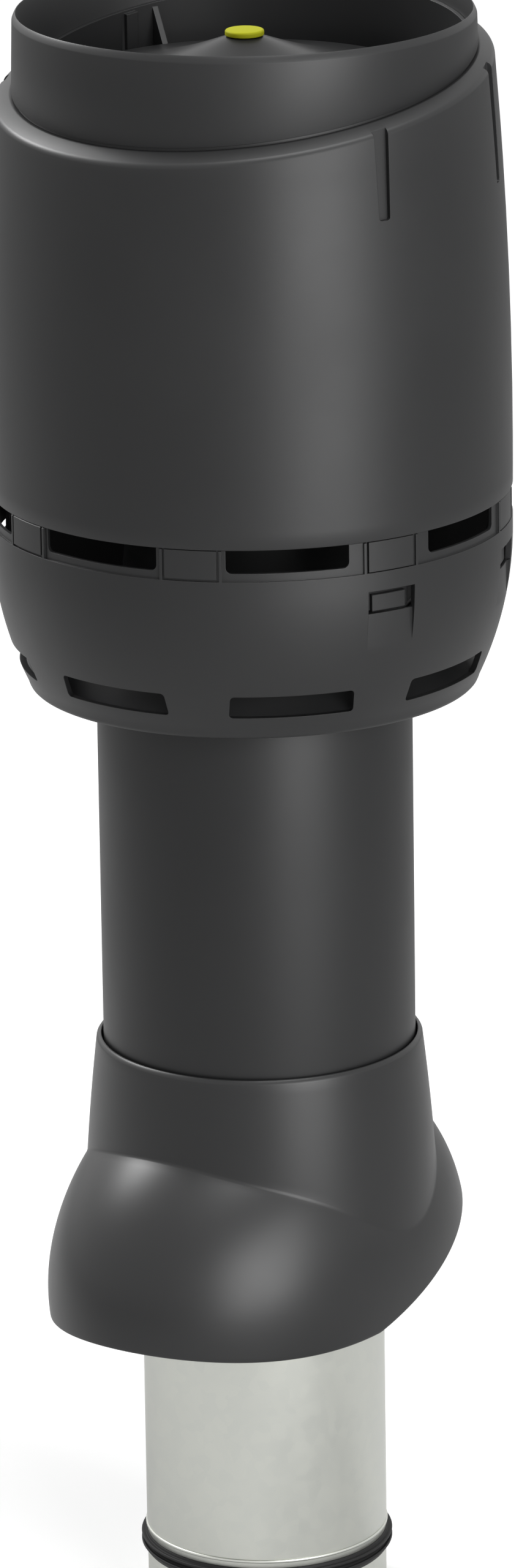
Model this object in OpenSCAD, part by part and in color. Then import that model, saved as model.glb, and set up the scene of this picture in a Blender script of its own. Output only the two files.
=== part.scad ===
// Roof vent pipe: an insulated steel duct with an exhaust hood and a sliding slanted roof cover.
// Origin: centre of the duct's lower end. +Z runs up the pipe and -Y is the downhill side.
// An angle around the pipe is counted from -Y towards +X.

/* [Duct] */
// Outside diameter of the steel duct
duct_d = 125; // [115:1:130]
// Sheet thickness of the duct
duct_wall = 0.8; // [0.6:0.1:1.5]
// Height of the duct's lower edge above the spigot's end
spigot_len = 43; // [40:1:70]
// How far the spigot coupling reaches up into the duct
spigot_grip = 37; // [20:1:60]
// Sheet thickness of the spigot coupling
spigot_wall = 1; // [0.8:0.1:1.5]
// How far the gasket lips stand out of the spigot
lip_reach = 3.2; // [2:0.1:4]

/* [Roof pipe] */
// Outside diameter of the plastic pipe
pipe_d = 160; // [156:1:164]
// Wall of the plastic pipe
pipe_wall = 3; // [2:0.1:4]
// Height of the pipe's lower end above the spigot's end
pipe_bottom = 180; // [172:1:190]
// Length of the plastic pipe
pipe_len = 358; // [350:1:420]
// Thickness of the rings that close the insulation
end_ring_t = 8; // [4:0.5:12]

/* [Hood bowl] */
// How far the bowl's skirt reaches down over the pipe
socket_len = 38; // [34:0.5:45]
// Height of the bowl from its skirt edge to the joint with the shell
bowl_h = 101; // [98:0.5:110]
// How far the bowl's side stands in from the shell's
bowl_step = 0.2; // [0.1:0.1:0.6]
// Radius of the bowl's curved side, seen in section
bowl_curve_r = 175; // [165:1:190]
// Wall of the bowl and the shell
skin = 3; // [2.5:0.1:3.5]
// Height of the recessed band under the joint
band_h = 16; // [15:0.5:18]
// Depth of the recessed band
band_recess = 1.2; // [0.6:0.1:1.6]
// Width of an air window in the band, away from the latches
window_w = 66.5; // [50:0.5:68]
// How much narrower a window is on a side that faces a latch
latch_trim = 5.5; // [0:0.5:12]
// Height of an air window
window_h = 12; // [8:0.5:13]
// Width of a drain slot near the skirt edge
slot_w = 62; // [40:0.5:66]
// Height of a drain slot
slot_h = 12; // [8:0.5:13]

/* [Hood shell] */
// Height of the shell from the joint to the rim of its mouth
shell_h = 242; // [230:0.5:260]
// Largest radius of the hood, on the shell
belly_r = 131.6; // [130.5:0.1:134]
// Height of that radius above the joint
belly_h = 24; // [10:1:40]
// Radius of the shell's curved side, seen in section
shell_curve_r = 2430; // [2000:10:3000]
// Radius of the mouth's bore
mouth_r = 113.2; // [111:0.1:114]
// Outside radius of the neck at its rim
neck_top_r = 115.2; // [114.8:0.1:116]
// Outside radius of the neck at its foot
neck_foot_r = 117.2; // [116.4:0.1:118]
// Distance from the rim down to the middle of the slanted shoulder
shoulder_drop = 29.2; // [28:0.1:40]
// Slant of the shoulder in degrees
shoulder_tilt = 9; // [5:0.5:10]
// Length of the four grooves that run down from the shoulder
groove_len = 54; // [30:1:60]
// Width of a groove
groove_w = 6.5; // [4:0.5:9]

/* [Rain dome] */
// Radius of the rain dome
dome_r = 90; // [80:0.5:95]
// Rise of the dome from its edge to its centre
dome_rise = 20.8; // [14:0.1:24]
// Distance from the mouth's rim down to the dome's top
dome_drop = 13.4; // [10:0.1:20]
// Sheet thickness of the dome
dome_wall = 2.5; // [2:0.1:3]
// Diameter of the centre plug
plug_d = 19.5; // [18.5:0.1:22]
// Thickness of the vanes
vane_t = 3; // [2:0.1:5]
// Number of vanes
vane_count = 3; // [3:1:6]

/* [Riser] */
// Height of the flared riser above the duct's end
riser_h = 186; // [150:1:196]
// How much the riser opens out at its top
riser_flare = 18; // [8:1:24]

/* [Latches] */
// Width of a latch tongue
latch_w = 26; // [20:0.5:28]
// Height of the window that a latch shows in
latch_window_h = 12; // [9:0.5:13]
// Height of the wall between the band and that window
latch_bridge = 9.5; // [8:0.5:12]

/* [Roof cover] */
// Height of the collar's upper edge above the spigot's end
cover_top = 311; // [300:1:340]
// Radius of the collar at its upper edge
collar_top_r = 83.4; // [83.2:0.1:86]
// Radius of the collar at its foot
collar_foot_r = 91.3; // [90:0.1:94]
// Height of the collar from its foot to its upper edge
collar_h = 106; // [100:1:115]
// Wall of the roof cover
cover_wall = 3; // [2:0.1:3.5]
// Half length of the bell along the slope
bell_y = 129.5; // [120:0.5:136]
// Half width of the bell across the slope
bell_x = 95; // [94.5:0.5:104]
// Rise of the bell from its widest part to its hidden crown
bell_z = 109.4; // [104:0.2:114]
// Distance from the collar's edge down to the bell's widest part
bell_drop = 123; // [118:1:128]
// Shift of the bell towards the downhill side
bell_shift = 3.9; // [0:0.1:8]
// Roof slope of the rim's uphill part in degrees
roof_slope = 18.3; // [12:0.1:25]
// Radius of the rim's bow on the downhill part, seen from the side
rim_bow_r = 345; // [250:5:500]

/* [Hidden] */
$fn = 96;
round_fn = 144;

// Clearances
slip = 0.3;
press = 0.15;
cut = 1;
// Larger than the whole part, for cuts that run through it
big = 600;

// Duct and pipe
duct_r = duct_d / 2;
duct_ri = duct_r - duct_wall;
pipe_r = pipe_d / 2;
pipe_ri = pipe_r - pipe_wall;
pipe_top = pipe_bottom + pipe_len;
spigot_r = duct_ri - press;
spigot_bead_r = duct_r + 0.6;
spigot_bead_h = 1.6;
spigot_lead = 3;
gasket_top = spigot_len - spigot_bead_h;
gasket_h = 12.4;
gasket_base_t = 0.9;
gasket_groove = 0.8;
lip_t = 1.6;

// Bowl
bowl_r = belly_r - bowl_step;
bowl_z = pipe_top - socket_len;
joint_z = bowl_z + bowl_h;
bowl_straight_z = joint_z - 23;
bowl_centre_r = bowl_r - bowl_curve_r;
skirt_round = 3;
socket_ri = pipe_r + press;
socket_ro = socket_ri + skin;
socket_top = pipe_top + slip + skin;
floor_in_z = bowl_z + 29;
floor_out_z = bowl_z + 11.5;
bowl_edge_z = joint_z - slip;
band_z = joint_z - band_h;
window_count = 8;
window_pitch = 360 / window_count;
window_round = 3;
slot_z = bowl_z + 12;
slot_round = 2;
rib_t = 1.4;
rib_offset = asin(window_w / 2 / bowl_r) + 1.3;
panel_gap = 1.2;
under_rib_t = 2.4;
under_rib_count = 16;
duct_hole_r = duct_r + 1;

// Angles of the latches and of the plain panels between windows
latch_angles = [67.5, 112.5, 247.5, 292.5];
panel_angles = [22.5, 157.5, 202.5, 337.5];

// Latches
latch_half = asin(latch_w / 2 / bowl_r);
latch_window_z = band_z - latch_bridge - latch_window_h;
latch_play = 0.4;
scoop_h = 17;
scoop_depth = 1.8;
strap_t = 2.2;
strap_r = bowl_r - skin - 2.8;
root_r = belly_r - skin - 0.4;
root_t = 2.4;
root_h = 36;
pad_r = bowl_r - skin - 0.5;

// Shell and mouth
rim_z = joint_z + shell_h;
belly_z = joint_z + belly_h;
shoulder_z = rim_z - shoulder_drop;
shoulder_fall = 5.5 / 8.5;
neck_lip_h = 3.4;
neck_low_t = neck_foot_r - mouth_r;
carrier_h = 43.8;
carrier_z = shoulder_z - carrier_h;
carrier_r = mouth_r - slip;
carrier_t = 2;
carrier_step = 3.2;
post_w = 6.5;
post_t = 2.6;
post_drop = 1.5;
carrier_screw_z = carrier_z + 12;
groove_depth = 1.2;
groove_round = 1.4;
groove_floor_r = shell_at(shoulder_z) - groove_depth;
groove_back_t = 2.4;

// Dome
dome_top = rim_z - dome_drop;
dome_edge = dome_top - dome_rise;
dome_skirt = 8;
well_r = plug_d / 2 - 1.6;
well_depth = 5.3;
dome_floor_t = 3;
hub_r = 12;
hub_top = dome_top - well_depth - dome_floor_t;
hub_h = 34;
vane_reach_drop = dome_edge - dome_skirt - 5;

// Riser
duct_top = pipe_top + 18;
riser_wall = 2.5;
riser_top = duct_top + riser_h;
riser_flange_r = socket_ro - 2;
riser_flange_t = 3;
riser_lip = 0.8;

// Fasteners
screw_r = 1.75;
screw_hole_r = 2.2;
screw_pilot_r = screw_r + 0.05;
screw_head_r = 4;
screw_head_h = 2.4;
riser_screw_pcr = (duct_r + riser_flange_r) / 2 + 1.5;

// Cover
collar_z = cover_top - collar_h;
collar_power = 1.6;
collar_lip_h = 2;
bell_centre = cover_top - bell_drop;
bell_tilt = 2.9;
bore_gap = 0.9;
seal_h = 20;
seal_top = cover_top - 14;
seal_ri = pipe_r + slip;
seal_lip = 1.2;
seal_seat_r = collar_top_r - 0.4;
rim_low_y = -60;
rim_low_z = bell_centre - 17.7;
slope_z = bell_centre - 7.5;

// Points on an arc from angle a0 to a1 in n steps
function arc(cx, cy, r, a0, a1, n) =
    [for (i = [0:n]) let (a = a0 + (a1 - a0) * i / n) [cx + r * cos(a), cy + r * sin(a)]];

// Outer radius of the bowl's curved side at height z, moved in by t
function bowl_at(z, t = 0) = z >= bowl_straight_z ? bowl_r - t
    : bowl_centre_r + sqrt(pow(bowl_curve_r - t, 2) - pow(bowl_straight_z - z, 2));

// Outer radius of the shell's side at height z, moved in by t
function shell_at(z, t = 0) =
    belly_r - shell_curve_r + sqrt(pow(shell_curve_r - t, 2) - pow(z - belly_z, 2));

// Outer radius of the roof cover's collar at height z, moved in by t
function collar_at(z, t = 0) =
    collar_foot_r - t - (collar_foot_r - collar_top_r) * pow(max(z - collar_z, 0) / collar_h, collar_power);

// Top surface of the dome at radius r
function dome_at(r) = dome_edge + dome_rise * pow((dome_r - r) / (dome_r - well_r), 1.5);

// Inside radius of the riser at height z
function riser_at(z) = duct_ri + riser_flare * pow((z - duct_top) / riser_h, 2);

// Puts children at an angle around the pipe, with +X pointing outwards
module at_angle(a) {
    rotate([0, 0, a - 90]) children();
}

module tube(ro, ri, z0, z1) {
    translate([0, 0, z0]) difference() {
        cylinder(h = z1 - z0, r = ro, $fn = round_fn);
        translate([0, 0, -cut]) cylinder(h = z1 - z0 + 2 * cut, r = ri, $fn = round_fn);
    }
}

// Rounded rectangle with its lower edge on y = 0, open_top leaves the upper corners square
module slot_outline(w, h, r, open_top) {
    translate([-w / 2 + r, 0]) square([w - 2 * r, h]);
    translate([-w / 2, r]) square([w, open_top ? h - r : h - 2 * r]);
    for (s = [-1, 1])
        translate([s * (w / 2 - r), r]) circle(r = r, $fn = 32);
    if (!open_top)
        for (s = [-1, 1])
            translate([s * (w / 2 - r), h - r]) circle(r = r, $fn = 32);
}

// Cuts outwards through a wall: an outline of width and height, from radius r0 to r1
module radial_cut(r0, r1, z) {
    translate([r0, 0, z]) rotate([90, 0, 90]) linear_extrude(r1 - r0) children();
}

// Piece of a ring with section polygon in radius and height, half wide to each side
module ring_piece(half) {
    rotate([0, 0, -half]) rotate_extrude(angle = 2 * half, $fn = round_fn) children();
}

// Pan-head screw along +X with its head's seat at x = 0 and its head towards -X
module screw(len) {
    rotate([0, 90, 0]) cylinder(h = len, r = screw_r, $fn = 24);
    rotate([0, -90, 0]) cylinder(h = screw_head_h, r1 = screw_head_r, r2 = screw_head_r - 1.2, $fn = 32);
}

module duct_pipe() {
    color([0.76, 0.77, 0.74]) tube(duct_r, duct_ri, spigot_len, duct_top);
}

// Coupling that joins the next duct: a sleeve with a stop bead, a rolled gasket groove and a lead-in
module spigot_coupling() {
    low_r = duct_r - 0.3;
    seat_r = low_r - gasket_groove;
    seat_low = gasket_top - gasket_h;
    color([0.78, 0.79, 0.77]) rotate_extrude($fn = round_fn)
        polygon([
            [low_r - spigot_wall - 1, 0],
            [low_r - 1, 0],
            [low_r, spigot_lead],
            [low_r, seat_low],
            [seat_r, seat_low],
            [seat_r, gasket_top],
            [spigot_bead_r, gasket_top],
            [spigot_bead_r, spigot_len],
            [spigot_r, spigot_len],
            [spigot_r, spigot_len + spigot_grip],
            [spigot_r - spigot_wall, spigot_len + spigot_grip],
            [spigot_r - spigot_wall, gasket_top],
            [seat_r - spigot_wall, gasket_top - 1],
            [seat_r - spigot_wall, seat_low - 1],
            [low_r - spigot_wall, seat_low - 2],
            [low_r - spigot_wall, spigot_lead]
        ]);
}

// Rubber band with two sealing lips that lean away from the open end
module spigot_gasket() {
    base_r = duct_r - 0.3;
    seat_r = base_r - gasket_groove;
    low = gasket_top - gasket_h;
    tip = base_r + lip_reach;
    color([0.07, 0.07, 0.07]) rotate_extrude($fn = round_fn)
        polygon([
            [seat_r, low],
            [base_r + gasket_base_t, low],
            [tip, low + 3.2],
            [tip, low + 3.2 + lip_t],
            [base_r + gasket_base_t, low + 3.4],
            [base_r + gasket_base_t, gasket_top - 6],
            [tip, gasket_top - 2.6],
            [tip, gasket_top - 2.6 + lip_t],
            [base_r + gasket_base_t, gasket_top - 2],
            [base_r + gasket_base_t, gasket_top],
            [seat_r, gasket_top]
        ]);
}

module insulation_sleeve() {
    color([0.85, 0.78, 0.5])
        tube(pipe_ri - slip, duct_r + slip, pipe_bottom + end_ring_t, pipe_top - end_ring_t);
}

module outer_pipe() {
    color([0.2, 0.2, 0.21]) difference() {
        tube(pipe_r, pipe_ri, pipe_bottom, pipe_top);
        for (i = [0:3])
            at_angle(socket_screw_angle(i)) translate([pipe_ri - cut, 0, socket_screw_z])
                rotate([0, 90, 0]) cylinder(h = pipe_wall + 2 * cut, r = screw_pilot_r, $fn = 24);
    }
}

// Ring between duct and pipe, with a lip that covers the pipe's lower edge
module pipe_bottom_ring() {
    lip_t = 2;
    color([0.17, 0.17, 0.18]) rotate_extrude($fn = round_fn)
        polygon([
            [duct_r + slip, pipe_bottom - lip_t],
            [pipe_r - 0.6, pipe_bottom - lip_t],
            [pipe_r, pipe_bottom - lip_t + 0.6],
            [pipe_r, pipe_bottom],
            [pipe_ri - press, pipe_bottom],
            [pipe_ri - press, pipe_bottom + end_ring_t],
            [duct_r + slip, pipe_bottom + end_ring_t]
        ]);
}

module pipe_top_ring() {
    color([0.17, 0.17, 0.18]) tube(pipe_ri - press, duct_r + slip, pipe_top - end_ring_t, pipe_top);
}

socket_screw_z = bowl_z + 8;
function socket_screw_angle(i) = 11.25 + 90 * i;

module bowl_profile() {
    wall_n = 14;
    step = (bowl_straight_z - bowl_z - skirt_round) / wall_n;
    foot_z = bowl_z + skirt_round;
    polygon(concat(
        [for (i = [0:wall_n]) [bowl_at(foot_z + step * i), foot_z + step * i]],
        [[bowl_r, bowl_edge_z], [bowl_r - skin, bowl_edge_z]],
        [for (i = [0:wall_n]) let (z = bowl_straight_z - step * i) [bowl_at(z, skin), z]],
        [[bowl_at(foot_z) - skin, bowl_z + 0.8], [bowl_at(foot_z) - skin + 0.8, bowl_z],
            [bowl_at(foot_z) - 1.8, bowl_z], [bowl_at(foot_z) - 0.5, bowl_z + 1]]
    ));
    // Sloping floor that sheds rain to the drain slots
    polygon([
        [socket_ro - 1, floor_in_z - skin],
        [bowl_at(floor_out_z, skin) + 1, floor_out_z - skin],
        [bowl_at(floor_out_z, skin) + 1, floor_out_z],
        [socket_ro - 1, floor_in_z]
    ]);
    // Socket with the ledge that rests on the pipe
    polygon([
        [socket_ri, bowl_z],
        [socket_ro, bowl_z],
        [socket_ro, socket_top],
        [duct_hole_r, socket_top],
        [duct_hole_r, pipe_top + slip],
        [socket_ri, pipe_top + slip]
    ]);
}

// How much a window gives up on its side next to angle a, where a latch may stand
function trim_beside(a) =
    len([for (l = latch_angles) if (abs((a + 360) % 360 - l) < latch_half) l]) > 0 ? latch_trim : 0;

module window_outline(trim_low, trim_high) {
    translate([(trim_low - trim_high) / 2, 0])
        slot_outline(window_w - trim_low - trim_high, window_h + cut, window_round, true);
}

// The recess round the band leaves thin ribs beside each window and plain panels between them
module band_recess_cut() {
    difference() {
        tube(bowl_r + cut, bowl_r - band_recess, band_z, bowl_edge_z + cut);
        for (i = [0:window_count - 1])
            for (s = [-1, 1])
                at_angle(window_pitch * i + s * rib_offset)
                    translate([bowl_r - band_recess - cut, -rib_t / 2, band_z - cut])
                        cube([band_recess + 3 * cut, rib_t, band_h + 3 * cut]);
        for (a = panel_angles)
            at_angle(a) ring_piece(window_pitch / 2 - rib_offset - 1)
                translate([bowl_r - band_recess - cut, band_z + panel_gap])
                    square([band_recess + 0.8 * cut, band_h + cut]);
    }
}

module latch_wall_cuts() {
    hole = latch_half + 0.2;
    // Notch that the tongue comes down in
    ring_piece(hole) translate([bowl_r - 2 * skin, band_z])
        square([3 * skin, band_h + cut]);
    // Window that its pad shows in
    ring_piece(hole) translate([bowl_r - 3 * skin, latch_window_z])
        square([4 * skin, latch_window_h]);
    // Finger scoop that fades out below the window
    ring_piece(hole) polygon([
        [bowl_at(latch_window_z) - scoop_depth, latch_window_z + cut],
        [bowl_at(latch_window_z) - scoop_depth, latch_window_z],
        [bowl_at(latch_window_z - scoop_h), latch_window_z - scoop_h],
        [bowl_r + cut, latch_window_z - scoop_h],
        [bowl_r + cut, latch_window_z + cut]
    ]);
}

module hood_bowl() {
    color([0.2, 0.2, 0.21]) difference() {
        union() {
            rotate_extrude($fn = round_fn) bowl_profile();
            for (i = [0:under_rib_count - 1])
                at_angle(360 / under_rib_count * i) rotate([90, 0, 0])
                    translate([0, 0, -under_rib_t / 2]) linear_extrude(under_rib_t)
                        polygon([
                            [socket_ro - 0.5, bowl_z + 3],
                            [bowl_at(bowl_z + 3) - skin + 0.5, bowl_z + 3],
                            [bowl_at(floor_out_z, skin) + 0.5, floor_out_z - 1],
                            [socket_ro - 0.5, floor_in_z - 1]
                        ]);
        }
        band_recess_cut();
        for (i = [0:window_count - 1]) {
            at_angle(window_pitch * i) radial_cut(bowl_r - 5 * skin, bowl_r + cut, joint_z - window_h)
                window_outline(trim_beside(window_pitch * (i - 0.5)), trim_beside(window_pitch * (i + 0.5)));
            at_angle(window_pitch * i) radial_cut(bowl_at(slot_z, 2 * skin) - 5, bowl_r, slot_z)
                slot_outline(slot_w, slot_h, slot_round, false);
        }
        for (a = latch_angles)
            at_angle(a) latch_wall_cuts();
        for (i = [0:3]) {
            at_angle(socket_screw_angle(i)) translate([socket_ri - cut, 0, socket_screw_z])
                rotate([0, 90, 0]) cylinder(h = skin + 2 * cut, r = screw_hole_r, $fn = 24);
            at_angle(45 + 90 * i) translate([riser_screw_pcr, 0, pipe_top])
                cylinder(h = 3 * skin, r = screw_pilot_r, $fn = 24);
        }
    }
}

module socket_screws() {
    color([0.7, 0.7, 0.7])
        for (i = [0:3])
            at_angle(socket_screw_angle(i)) translate([socket_ro, 0, socket_screw_z])
                mirror([1, 0, 0]) screw(skin + press + pipe_wall);
}

// Flared tube that carries the exhaust air up to the dome
module riser_tube() {
    n = 12;
    step = riser_h / n;
    color([0.2, 0.2, 0.21]) difference() {
        rotate_extrude($fn = round_fn)
            polygon(concat(
                [[duct_r + slip, socket_top], [riser_flange_r, socket_top],
                    [riser_flange_r, socket_top + riser_flange_t],
                    [duct_r + slip + riser_wall, socket_top + riser_flange_t],
                    [duct_r + slip + riser_wall, duct_top + 4]],
                [for (i = [1:n]) [riser_at(duct_top + step * i) + riser_wall, duct_top + step * i]],
                [[riser_at(riser_top) + riser_wall + riser_lip, riser_top + 1.2],
                    [riser_at(riser_top) + riser_lip, riser_top + 1.6]],
                [for (i = [0:n - 1]) [riser_at(riser_top - step * i), riser_top - step * i]],
                [[duct_ri, duct_top + slip], [duct_r + slip, duct_top + slip]]
            ));
        for (i = [0:3])
            at_angle(45 + 90 * i) translate([riser_screw_pcr, 0, socket_top - cut])
                cylinder(h = riser_flange_t + 2 * cut, r = screw_hole_r, $fn = 24);
    }
}

module riser_screws() {
    color([0.7, 0.7, 0.7])
        for (i = [0:3])
            at_angle(45 + 90 * i) translate([riser_screw_pcr, 0, socket_top + riser_flange_t])
                rotate([0, 90, 0]) screw(riser_flange_t + skin);
}

// Body of the shell inside its outer surface, moved in by t, under the slanted shoulder
module shell_body(t, low) {
    n = 18;
    step = (rim_z - joint_z) / n;
    reach = 300;
    above = 8;
    intersection() {
        rotate_extrude($fn = round_fn)
            polygon(concat(
                [[0, low], [shell_at(joint_z, t), low]],
                [for (i = [0:n]) [shell_at(joint_z + step * i, t), joint_z + step * i]],
                [[0, rim_z]]
            ));
        translate([0, 0, shoulder_z - t * 1.2]) rotate([shoulder_tilt, 0, 0])
            translate([0, 0, -reach]) cylinder(h = reach + above,
                r1 = neck_foot_r + reach / shoulder_fall,
                r2 = neck_foot_r - above / shoulder_fall, $fn = round_fn);
    }
}

module neck_solid() {
    rotate_extrude($fn = round_fn)
        polygon([
            [0, carrier_z],
            [neck_foot_r, carrier_z],
            [neck_top_r, rim_z - neck_lip_h],
            [mouth_r + 0.7, rim_z - 0.3],
            [mouth_r + 0.4, rim_z],
            [0, rim_z]
        ]);
}

// Groove with an upright floor, so it gets deeper as the side swells out below the shoulder
module groove_cut() {
    radial_cut(groove_floor_r, belly_r + cut, shoulder_z - groove_len)
        slot_outline(groove_w, groove_len + 2 * skin, groove_round, true);
}

// Boss inside the shell that backs a groove where it is deeper than the skin
module groove_back() {
    low = shoulder_z - groove_len - groove_back_t;
    top = shoulder_z - groove_len / 4;
    back_r = groove_floor_r - groove_back_t;
    width = groove_w + 2 * groove_back_t;
    rotate([90, 0, 0]) translate([0, 0, -width / 2]) linear_extrude(width)
        polygon([[back_r, low], [shell_at(low, skin / 2), low], [shell_at(top, skin / 2), top], [back_r, top]]);
}

module hood_shell() {
    color([0.2, 0.2, 0.21]) difference() {
        union() {
            difference() {
                shell_body(0, joint_z);
                shell_body(skin, joint_z - cut);
            }
            neck_solid();
            for (a = latch_angles)
                at_angle(a) groove_back();
        }
        translate([0, 0, carrier_z - cut])
            cylinder(h = rim_z - carrier_z + 2 * cut, r = mouth_r, $fn = round_fn);
        for (a = latch_angles) {
            at_angle(a) groove_cut();
            at_angle(a) translate([mouth_r - cut, 0, carrier_screw_z]) rotate([0, 90, 0])
                cylinder(h = neck_low_t + 2 * cut, r = screw_pilot_r, $fn = 24);
        }
    }
}

// Ring in the mouth with the vanes that carry the dome's hub
module vane_carrier() {
    ring_ri = carrier_r - carrier_t;
    edge_r = dome_r + 1;
    under_r = dome_r - dome_wall - 4;
    color([0.16, 0.16, 0.17]) difference() {
        union() {
            intersection() {
                tube(carrier_r, ring_ri, carrier_z, rim_z - 2);
                translate([0, 0, shoulder_z + carrier_step]) rotate([shoulder_tilt, 0, 0])
                    translate([0, 0, -big]) cylinder(h = big, r = big);
            }
            intersection() {
                for (a = latch_angles)
                    at_angle(a) translate([ring_ri - post_t, -post_w / 2, carrier_z])
                        cube([post_t + carrier_t / 2, post_w, rim_z - carrier_z]);
                translate([0, 0, shoulder_z + carrier_step - post_drop]) rotate([shoulder_tilt, 0, 0])
                    translate([0, 0, -big]) cylinder(h = big, r = big);
            }
            for (i = [0:vane_count - 1])
                at_angle(360 / vane_count * i) rotate([90, 0, 0])
                    translate([0, 0, -vane_t / 2]) linear_extrude(vane_t)
                        vane_outline(ring_ri + carrier_t / 2, edge_r, under_r);
            translate([0, 0, hub_top - hub_h]) cylinder(h = hub_h, r = hub_r);
        }
        translate([0, 0, hub_top - hub_h - cut]) cylinder(h = hub_h + 2 * cut, r = screw_pilot_r, $fn = 24);
        for (a = latch_angles)
            at_angle(a) translate([ring_ri - post_t - cut, 0, carrier_screw_z]) rotate([0, 90, 0])
                cylinder(h = post_t + carrier_t + 2 * cut, r = screw_hole_r, $fn = 24);
    }
}

// Vane outline: it slopes from the ring down past the dome's edge and rises again under the dome
module vane_outline(ring_r, edge_r, under_r) {
    n = 8;
    wall_top = min(vane_reach_drop + (ring_r - edge_r) * 1.6, shoulder_z + 11.2);
    polygon(concat(
        [[ring_r, carrier_z + 2], [ring_r, wall_top], [edge_r, vane_reach_drop],
            [under_r + 2, vane_reach_drop]],
        [for (i = [0:n]) let (r = under_r - (under_r - hub_r + 1) * i / n)
            [r, min(dome_at(r) - dome_wall - 1.2, hub_top - 0.5)]],
        [[hub_r - 1, hub_top - hub_h + 2], [hub_r + 20, hub_top - hub_h]]
    ));
}

module carrier_screws() {
    ring_ri = carrier_r - carrier_t;
    color([0.7, 0.7, 0.7])
        for (a = latch_angles)
            at_angle(a) translate([ring_ri - post_t, 0, carrier_screw_z])
                screw(post_t + carrier_t + slip + neck_low_t + 1);
}

module rain_dome() {
    n = 14;
    step = (dome_r - 1.5 - well_r) / n;
    inner_n = 10;
    inner_step = (dome_r - dome_wall - 1.5 - hub_r - 6) / inner_n;
    color([0.2, 0.2, 0.21]) difference() {
        rotate_extrude($fn = round_fn)
            polygon(concat(
                [[0, dome_top - well_depth - dome_floor_t], [hub_r, hub_top], [hub_r + 2, hub_top + 0.6]],
                [for (i = [0:inner_n]) let (r = hub_r + 6 + inner_step * i) [r, dome_at(r) - dome_wall]],
                [[dome_r - dome_wall, dome_edge - dome_wall - 1], [dome_r - dome_wall, dome_edge - dome_skirt],
                    [dome_r - 0.6, dome_edge - dome_skirt], [dome_r, dome_edge - dome_skirt + 0.6],
                    [dome_r, dome_edge - 1]],
                [for (i = [0:n]) let (r = dome_r - 1.5 - step * i) [r, dome_at(r)]],
                [[well_r, dome_top - well_depth], [0, dome_top - well_depth]]
            ));
        translate([0, 0, hub_top - cut]) cylinder(h = dome_floor_t + 2 * cut, r = screw_hole_r, $fn = 24);
    }
}

module dome_washer() {
    color([0.75, 0.75, 0.76]) difference() {
        translate([0, 0, dome_top - well_depth]) cylinder(h = 1, r = 5.5, $fn = 48);
        translate([0, 0, dome_top - well_depth - cut]) cylinder(h = 3 * cut, r = screw_hole_r, $fn = 24);
    }
}

module dome_screw() {
    color([0.7, 0.7, 0.7]) translate([0, 0, dome_top - well_depth + 1])
        rotate([0, 90, 0]) screw(1 + dome_floor_t + 18);
}

// Cap that covers the screw, with a hollow stem in the dome's well
module centre_plug() {
    plug_r = plug_d / 2;
    cap_t = 2.8;
    stem_len = 3.8;
    seat = dome_top + 0.1;
    color([0.78, 0.8, 0.08]) rotate_extrude($fn = 64)
        polygon([
            [0, seat + 0.5],
            [well_r - 2, seat + 0.5],
            [well_r - 2, seat - stem_len],
            [well_r - slip, seat - stem_len],
            [well_r - slip, seat],
            [plug_r - 0.3, seat],
            [plug_r, seat + 0.3],
            [plug_r, seat + cap_t - 0.7],
            [plug_r - 0.7, seat + cap_t],
            [0, seat + cap_t]
        ]);
}

// Spring tongue: its root lies inside the shell, its face fills the notch in the band,
// and its pad stands in the window below.
module latch_tongue(a) {
    face_r = bowl_r - 0.3;
    face_low = band_z + latch_play;
    face_top = joint_z - latch_play;
    pad_top = latch_window_z + latch_window_h - 2.4;
    pad_low = latch_window_z + 0.6;
    color([0.2, 0.2, 0.21]) at_angle(a) ring_piece(latch_half - 0.1)
        polygon([
            [root_r - root_t, joint_z + root_h],
            [root_r - 0.6, joint_z + root_h],
            [root_r, joint_z + root_h - 4],
            [root_r, face_top],
            [face_r, face_top],
            [face_r, face_low],
            [strap_r + 1.4, face_low],
            [strap_r, face_low - 2.5],
            [strap_r, pad_top],
            [pad_r, pad_top],
            [pad_r, pad_low + 1.5],
            [pad_r - 1, pad_low],
            [strap_r - strap_t, pad_low],
            [strap_r - strap_t, face_low + 1],
            [root_r - root_t, face_low + 6]
        ]);
}

module latch_tongue_1() { latch_tongue(latch_angles[0]); }
module latch_tongue_2() { latch_tongue(latch_angles[1]); }
module latch_tongue_3() { latch_tongue(latch_angles[2]); }
module latch_tongue_4() { latch_tongue(latch_angles[3]); }

// Rubber ring inside the collar with two lips that wipe the pipe
module collar_seal() {
    body_ri = seal_ri + seal_lip;
    body_ro = seal_seat_r - slip;
    low = seal_top - seal_h;
    color([0.08, 0.08, 0.08]) rotate_extrude($fn = round_fn)
        polygon([
            [body_ro, low],
            [body_ro, seal_top],
            [body_ri, seal_top],
            [seal_ri, seal_top - 1],
            [seal_ri, seal_top - 2],
            [body_ri, seal_top - 4],
            [body_ri, low + 4],
            [seal_ri, low + 2],
            [seal_ri, low + 1],
            [body_ri, low]
        ]);
}

// Collar of the roof cover, solid to the axis, moved in by t
module collar_solid(t, top) {
    n = 12;
    step = (top - collar_z) / n;
    rotate_extrude($fn = round_fn)
        polygon(concat(
            [[0, collar_z], [collar_at(collar_z, t), collar_z]],
            [for (i = [1:n]) let (z = collar_z + step * i) [collar_at(z, t), z]],
            [[0, top]]
        ));
}

module bell_solid(t) {
    translate([0, -bell_shift, bell_centre]) rotate([bell_tilt, 0, 0])
        scale([bell_x - t, bell_y - t, bell_z - t]) sphere(r = 1, $fn = 72);
}

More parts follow.
